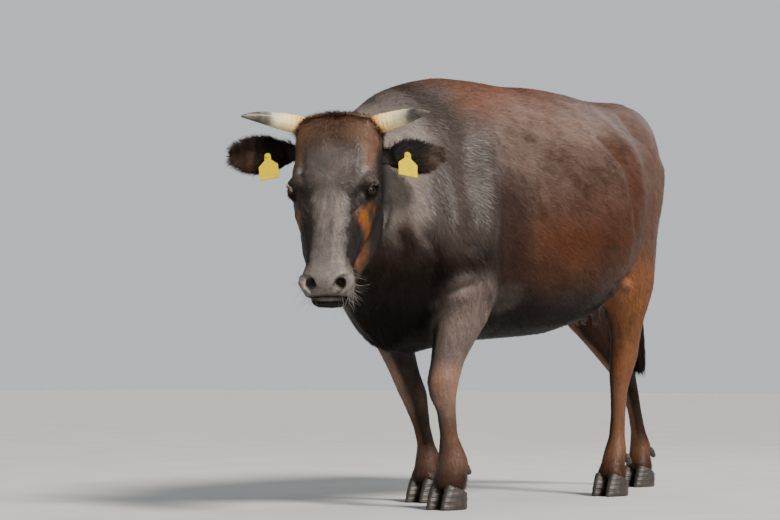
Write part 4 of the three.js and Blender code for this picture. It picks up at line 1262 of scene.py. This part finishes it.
def make_whiskers(source, material):
    """Pale whiskers round the lips and chin, and the lashes."""
    places = to_head(source.points)
    head = part_map.share(source.shares, "head")
    lips = ramp(places[:, 2], -452, -490) * ramp(places[:, 1], 6, 30) * ramp(places[:, 1], 118, 90)
    beside = ramp(np.abs(places[:, 0]), 22, 42)
    sparse = Roots(source, head * lips * beside * (1 - nose_pad(places)), 130, 41)
    rng = np.random.default_rng(42)
    down = HEAD_AXES @ np.array((0, 0.15, -0.75))
    way = unit(sparse.normals + down * rng.uniform(0.1, 1.0, sparse.count)[:, None]
               + rng.normal(0, 0.22, (sparse.count, 3)))
    length = rng.uniform(0.018, 0.052, sparse.count)[:, None]
    sag = rng.normal(0, 0.0025, (sparse.count, 3)) + np.array((0, 0, 0.002))
    grey = np.array((0.55, 0.50, 0.44)) * rng.uniform(0.15, 0.9, sparse.count)[:, None]
    roots, tips = sparse.points - sparse.normals * 0.001, sparse.points + way * length
    make_hairs("whiskers", roots, tips, sag, 0.00042, grey, material)
    roots, tips, tones = [], [], []
    lashes = 46
    for side in SIDES:
        mirror = np.array((side, 1, 1))
        for number in range(lashes):
            share = -0.75 + 1.65 * (number + rng.uniform(-0.4, 0.4)) / lashes
            root = lid_edge(share, True, 3.4)
            upward, sideways = rng.uniform(0.25, 0.6), share * 0.5 + rng.normal(0, 0.08)
            way = unit(GAZE * 0.9 + LID_UP * upward + LID_AXIS * sideways + np.array((0, 0, -0.35)))
            roots.append(root * mirror)
            tips.append((root + way * rng.uniform(12, 23)) * mirror)
            tones.append(rng.uniform(0.12, 0.75))
    roots, tips = from_head(roots), from_head(tips)
    tones = np.array((0.55, 0.47, 0.38)) * np.array(tones)[:, None]
    droop = np.tile(np.array((0, 0, -0.0022)), (len(roots), 1))
    make_hairs("lashes", roots, tips, droop, 0.00040, tones, material)


# ---- the tail's switch
def make_switch(source, material):
    """Long locks hanging from the end of the tail."""
    tail = part_map.share(source.shares, "tail")
    low = ramp(source.points[:, 2], 0.74, 0.52) * (source.points[:, 1] > 0.7)
    roots = grow(source, tail * low, "switch", 51)
    length = 0.07 + 0.11 * ramp(roots.points[:, 2], 0.72, 0.50)
    length = np.minimum(length, roots.points[:, 2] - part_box("tail")[0][2] + 0.012)
    length *= np.random.default_rng(52).uniform(0.55, 1.0, len(length))
    flow = unit(np.array((0.0, 0.0, -1.0)) + 0.04 * roots.normals)
    make_tufts("coat_switch", roots, length, 0.0026, 0.02, material, steps=6, curl=0.04, flow=flow, shade=0.8,
               spread=0.035)


# ---- materials
class Nodes:
    """A material's node tree, with short ways to add what the finishes here share."""

    def __init__(self, name):
        self.material = bpy.data.materials.new(name)
        self.material.use_nodes = True
        self.tree = self.material.node_tree
        self.shader = next(n for n in self.tree.nodes if n.type == "BSDF_PRINCIPLED")
        self.place = self.add("ShaderNodeTexCoord").outputs["Object"]

    def add(self, kind, **settings):
        node = self.tree.nodes.new(kind)
        for name, value in settings.items():
            setattr(node, name, value)
        return node

    def link(self, output, target):
        """Joins two sockets."""
        self.tree.links.new(output, target)

    def set(self, **values):
        """Plain values of the shader's sockets, with _ for a space."""
        for name, value in values.items():
            self.shader.inputs[name.replace("_", " ")].default_value = value

    def drive(self, output, name):
        """Joins a socket to one of the shader's."""
        self.link(output, self.shader.inputs[name])

    def attribute(self, name, output="Fac"):
        """What was given to the mesh under that name."""
        return self.add("ShaderNodeAttribute", attribute_name=name).outputs[output]

    def noise(self, scale, detail=3.0, place=None, roughness=0.55):
        node = self.add("ShaderNodeTexNoise")
        self.link(place or self.place, node.inputs["Vector"])
        node.inputs["Scale"].default_value = scale
        node.inputs["Detail"].default_value = detail
        node.inputs["Roughness"].default_value = roughness
        return node.outputs["Fac"]

    def cells(self, scale):
        """The distance to the edges of small cells."""
        node = self.add("ShaderNodeTexVoronoi", feature="DISTANCE_TO_EDGE")
        self.link(self.place, node.inputs["Vector"])
        node.inputs["Scale"].default_value = scale
        return node.outputs["Distance"]

    def stretched(self, scale):
        """The place, scaled differently along each axis."""
        node = self.add("ShaderNodeMapping")
        self.link(self.place, node.inputs["Vector"])
        node.inputs["Scale"].default_value = scale
        return node.outputs["Vector"]

    def colours(self, factor, stops):
        """A colour ramp of (place, colour) stops."""
        node = self.add("ShaderNodeValToRGB")
        elements = node.color_ramp.elements
        while len(elements) < len(stops):
            elements.new(0.5)
        for element, (place, colour) in zip(elements, stops):
            element.position = place
            element.color = (*colour, 1)
        self.link(factor, node.inputs["Fac"])
        return node.outputs["Color"]

    def mix(self, factor, first, second, blend="MIX"):
        node = self.add("ShaderNodeMix", data_type="RGBA", blend_type=blend)
        for socket, value in ((node.inputs[0], factor), (node.inputs[6], first), (node.inputs[7], second)):
            if isinstance(value, bpy.types.NodeSocket):
                self.link(value, socket)
            else:
                socket.default_value = value if isinstance(value, float) else (*value, 1)
        return node.outputs[2]

    def span(self, value, low, high, to_low=0.0, to_high=1.0):
        """A value's share of the way from low to high, or that share of another range."""
        node = self.add("ShaderNodeMapRange")
        self.link(value, node.inputs["Value"])
        for name, number in (("From Min", low), ("From Max", high), ("To Min", to_low), ("To Max", to_high)):
            node.inputs[name].default_value = number
        return node.outputs["Result"]

    def maths(self, operation, first, second=0.0):
        node = self.add("ShaderNodeMath", operation=operation)
        for socket, value in zip(node.inputs, (first, second)):
            if isinstance(value, bpy.types.NodeSocket):
                self.link(value, socket)
            else:
                socket.default_value = value
        return node.outputs[0]

    def bump(self, height, distance, strength=1.0):
        """Relief in the shading only."""
        node = self.add("ShaderNodeBump")
        node.inputs["Distance"].default_value = distance
        node.inputs["Strength"].default_value = strength
        self.link(height, node.inputs["Height"])
        self.link(node.outputs["Normal"], self.shader.inputs["Normal"])


def hair_material():
    """The coat's colour, streaked, and duller where it is darker."""
    nodes = Nodes("hair")
    colour = nodes.attribute("coat_colour", "Color")
    darker = nodes.mix(1.0, colour, (0.72, 0.72, 0.74), "MULTIPLY")
    lighter = nodes.mix(1.0, colour, (1.3, 1.26, 1.22), "MULTIPLY")
    nodes.drive(nodes.mix(nodes.span(nodes.noise(700, 2), 0.3, 0.7), darker, lighter), "Base Color")
    nodes.set(Roughness=0.42)
    nodes.drive(nodes.span(colour, 0.006, 0.05, 0.05, 0.26), "Specular IOR Level")
    return nodes.material


def skin_material():
    """What shows between the hairs, and the moist pebbled pad of the nose."""
    nodes = Nodes("skin")
    moist = nodes.attribute("moist")
    colour = nodes.attribute("coat_colour", "Color")
    grain = nodes.span(nodes.noise(260, 4), 0.3, 0.7, 0.65, 1.25)
    nodes.drive(nodes.mix(1.0, colour, grain, "MULTIPLY"), "Base Color")
    nodes.drive(nodes.span(moist, 0, 1, 0.50, 0.36), "Roughness")
    shine = nodes.span(colour, 0.006, 0.05, 0.06, 0.28)
    nodes.drive(nodes.maths("ADD", shine, nodes.span(moist, 0, 1, 0, 0.15)), "Specular IOR Level")
    pebbles = nodes.maths("MULTIPLY", nodes.span(nodes.cells(260), 0, 0.25, 0, 0.35), moist)
    fur = nodes.maths("MULTIPLY", nodes.noise(520, 3), nodes.span(moist, 0, 1, 1, 0.1))
    nodes.bump(nodes.maths("ADD", pebbles, fur), 0.0011, 0.8)
    return nodes.material


def horn_material():
    """Yellow at the root, through grey-green to a black tip, with fibres along it."""
    nodes = Nodes("horn")
    wander = nodes.span(nodes.noise(26, 5), 0.3, 0.7, -0.085, 0.085)
    along = nodes.maths("ADD", nodes.attribute("along"), wander)
    bands = nodes.colours(along, [
        (0.12, (0.60, 0.28, 0.07)), (0.24, (0.95, 0.66, 0.25)), (0.42, (0.90, 0.76, 0.40)),
        (0.54, (0.58, 0.54, 0.34)), (0.65, (0.16, 0.155, 0.11)), (0.76, (0.036, 0.036, 0.031)),
        (0.87, (0.13, 0.115, 0.088)), (1.0, (0.075, 0.065, 0.052))])
    fibres = nodes.noise(1, 4, nodes.stretched((60, 240, 240)), 0.7)
    nodes.drive(nodes.mix(nodes.span(fibres, 0.35, 0.65, 0.0, 0.35), bands,
                          nodes.mix(1.0, bands, (0.55, 0.50, 0.42), "MULTIPLY")), "Base Color")
    nodes.drive(nodes.span(fibres, 0.3, 0.7, 0.26, 0.44), "Roughness")
    nodes.set(Specular_IOR_Level=0.5, Subsurface_Weight=0.05, Subsurface_Scale=0.004)
    nodes.bump(fibres, 0.0005, 0.6)
    return nodes.material


def hoof_material():
    """Near-black layered horn."""
    nodes = Nodes("hoof")
    layers = nodes.noise(1, 3, nodes.stretched((40, 40, 300)), 0.6)
    blotch = nodes.noise(35, 4)
    horn = nodes.colours(blotch, [(0.3, (0.014, 0.011, 0.009)), (0.55, (0.034, 0.026, 0.019)),
                                  (0.75, (0.085, 0.062, 0.042))])
    nodes.drive(nodes.mix(nodes.span(layers, 0.35, 0.7, 0.0, 0.6), horn, (0.012, 0.010, 0.008)), "Base Color")
    nodes.drive(nodes.span(layers, 0.3, 0.7, 0.42, 0.62), "Roughness")
    nodes.bump(nodes.maths("ADD", layers, nodes.noise(300, 2)), 0.0007, 0.7)
    return nodes.material


def eye_material():
    """An almost black eye: brown iris, lying oval pupil, and a dark rim of white."""
    nodes = Nodes("eye")
    slit, rise, gaze = (nodes.attribute(name) for name in ("slit", "rise", "gaze"))
    across = nodes.maths("POWER", nodes.maths("DIVIDE", slit, 0.40), 2.0)
    tall = nodes.maths("POWER", nodes.maths("DIVIDE", rise, 0.22), 2.0)
    pupil = nodes.span(nodes.maths("ADD", across, tall), 1.25, 0.85)
    rays = nodes.noise(500, 3)
    iris = nodes.colours(rays, [(0.35, (0.010, 0.006, 0.004)), (0.7, (0.040, 0.019, 0.009))])
    white = nodes.colours(nodes.noise(160, 3), [(0.3, (0.012, 0.008, 0.006)), (0.8, (0.045, 0.030, 0.022))])
    ball = nodes.mix(nodes.span(gaze, 0.66, 0.72), white, iris)
    nodes.drive(nodes.mix(pupil, ball, (0.004, 0.004, 0.006)), "Base Color")
    nodes.set(Roughness=0.24, Specular_IOR_Level=0.15, Coat_Weight=0.22, Coat_Roughness=0.04, Coat_IOR=1.38)
    return nodes.material


def tag_material():
    """Scuffed yellow plastic."""
    nodes = Nodes("tag")
    scuffs = nodes.noise(90, 5)
    nodes.drive(nodes.colours(scuffs, [(0.25, (0.44, 0.315, 0.0)), (0.5, (0.52, 0.38, 0.0)),
                                       (0.8, (0.58, 0.425, 0.0))]), "Base Color")
    nodes.drive(nodes.span(scuffs, 0.3, 0.7, 0.55, 0.70), "Roughness")
    nodes.set(Specular_IOR_Level=0.04)
    nodes.bump(nodes.noise(1400, 2), 0.0002, 0.4)
    return nodes.material


# ---- camera, floor and light
CAMERA_PLACE = Vector((4.1929, -5.9244, 0.42))
CAMERA_TURN, CAMERA_PITCH = math.radians(38.0), math.radians(2.80)
CAMERA_LENS = 103.85
SIGHT = Vector((-math.sin(CAMERA_TURN), math.cos(CAMERA_TURN), 0))
RIGHTWARDS = Vector((math.cos(CAMERA_TURN), math.sin(CAMERA_TURN), 0))


def make_camera():
    """The photograph's view: a long lens about 7 m away, low on the animal's left front."""
    camera = bpy.data.cameras.new("camera")
    camera.lens = CAMERA_LENS
    camera.sensor_width = 36
    camera.clip_end = 100
    holder = new_object("camera", camera)
    holder.location = CAMERA_PLACE
    holder.rotation_euler = (math.pi / 2 + CAMERA_PITCH, 0, CAMERA_TURN)
    bpy.context.scene.camera = holder


def make_floor():
    points = np.array([(-30, -30, 0), (30, -30, 0), (30, 30, 0), (-30, 30, 0)], float)
    floor = new_object("floor", new_mesh("floor", points, np.array([(0, 1, 2, 3)]), smooth=False))
    nodes = Nodes("floor")
    nodes.link(nodes.colours(nodes.noise(3, 4), [(0.3, (0.47, 0.465, 0.45)), (0.7, (0.53, 0.52, 0.505))]),
               nodes.shader.inputs["Base Color"])
    nodes.set(Roughness=0.8)
    floor.data.materials.append(nodes.material)


def softbox(name, place, target, size, power, colour=(1, 1, 1)):
    """A rectangular lamp that faces its target."""
    light = bpy.data.lights.new(name, "AREA")
    light.shape = "RECTANGLE"
    light.size, light.size_y = size
    light.energy = power
    light.color = colour
    holder = new_object(name, light)
    holder.location = place
    holder.rotation_euler = (Vector(target) - Vector(place)).to_track_quat("-Z", "Y").to_euler()


def make_light():
    """A soft sun over the camera's right shoulder, three lamps and a grey sky, brighter low down."""
    middle = Vector((MIDLINE_X, -0.1, 0.8))
    up = Vector((0, 0, 1))
    sun = bpy.data.lights.new("key", "SUN")
    sun.energy, sun.angle, sun.color = 6.4, math.radians(16), (1, 0.96, 0.90)
    holder = new_object("key", sun)
    holder.rotation_euler = (SIGHT * 2.6 - RIGHTWARDS * 2.2 - up * 2.9).to_track_quat("-Z", "Y").to_euler()
    softbox("top", middle + up * 3.6 + SIGHT * 0.4 + RIGHTWARDS * 1.0, middle, (2.6, 2.2), 50)
    beside = middle - SIGHT * 3.4 - RIGHTWARDS * 2.4 + up * 2.2
    softbox("fill", beside, middle, (2.2, 2.0), 45, (0.92, 0.96, 1))
    softbox("rim", middle + SIGHT * 3.0 + RIGHTWARDS * 2.5 + up * 2.4, middle, (2, 2), 30)
    world = bpy.data.worlds.new("studio")
    world.use_nodes = True
    tree = world.node_tree
    place = tree.nodes.new("ShaderNodeTexCoord").outputs["Generated"]
    split = tree.nodes.new("ShaderNodeSeparateXYZ")
    tree.links.new(place, split.inputs[0])
    sky = tree.nodes.new("ShaderNodeValToRGB")
    stops = ((0.20, (0.62, 0.65, 0.68, 1)), (0.42, (0.13, 0.14, 0.16, 1)))
    for element, (height, colour) in zip(sky.color_ramp.elements, stops):
        element.position, element.color = height, colour
    tree.links.new(split.outputs["Z"], sky.inputs[0])
    tree.links.new(sky.outputs[0], tree.nodes["Background"].inputs["Color"])
    bpy.context.scene.world = world


# ---- the model
make_camera()
make_floor()
make_light()

coat_noise = Noise(5)
part_map = PartMap(FLESH)
skin = make_skin()
source = Source(skin)
unwrap = Unwrap(source.points, source.labels)
finish_skin(skin, source)

hair = hair_material()
make_coat(source, hair)
make_switch(source, hair)
make_whiskers(source, hair)
make_horns(horn_material())
make_feet(hoof_material())
make_eyes(eye_material())
tag_finish = tag_material()
for _, name in pair("ear_tag"):
    tag = bpy.data.objects[name]
    tag.data.materials.clear()
    tag.data.materials.append(tag_finish)
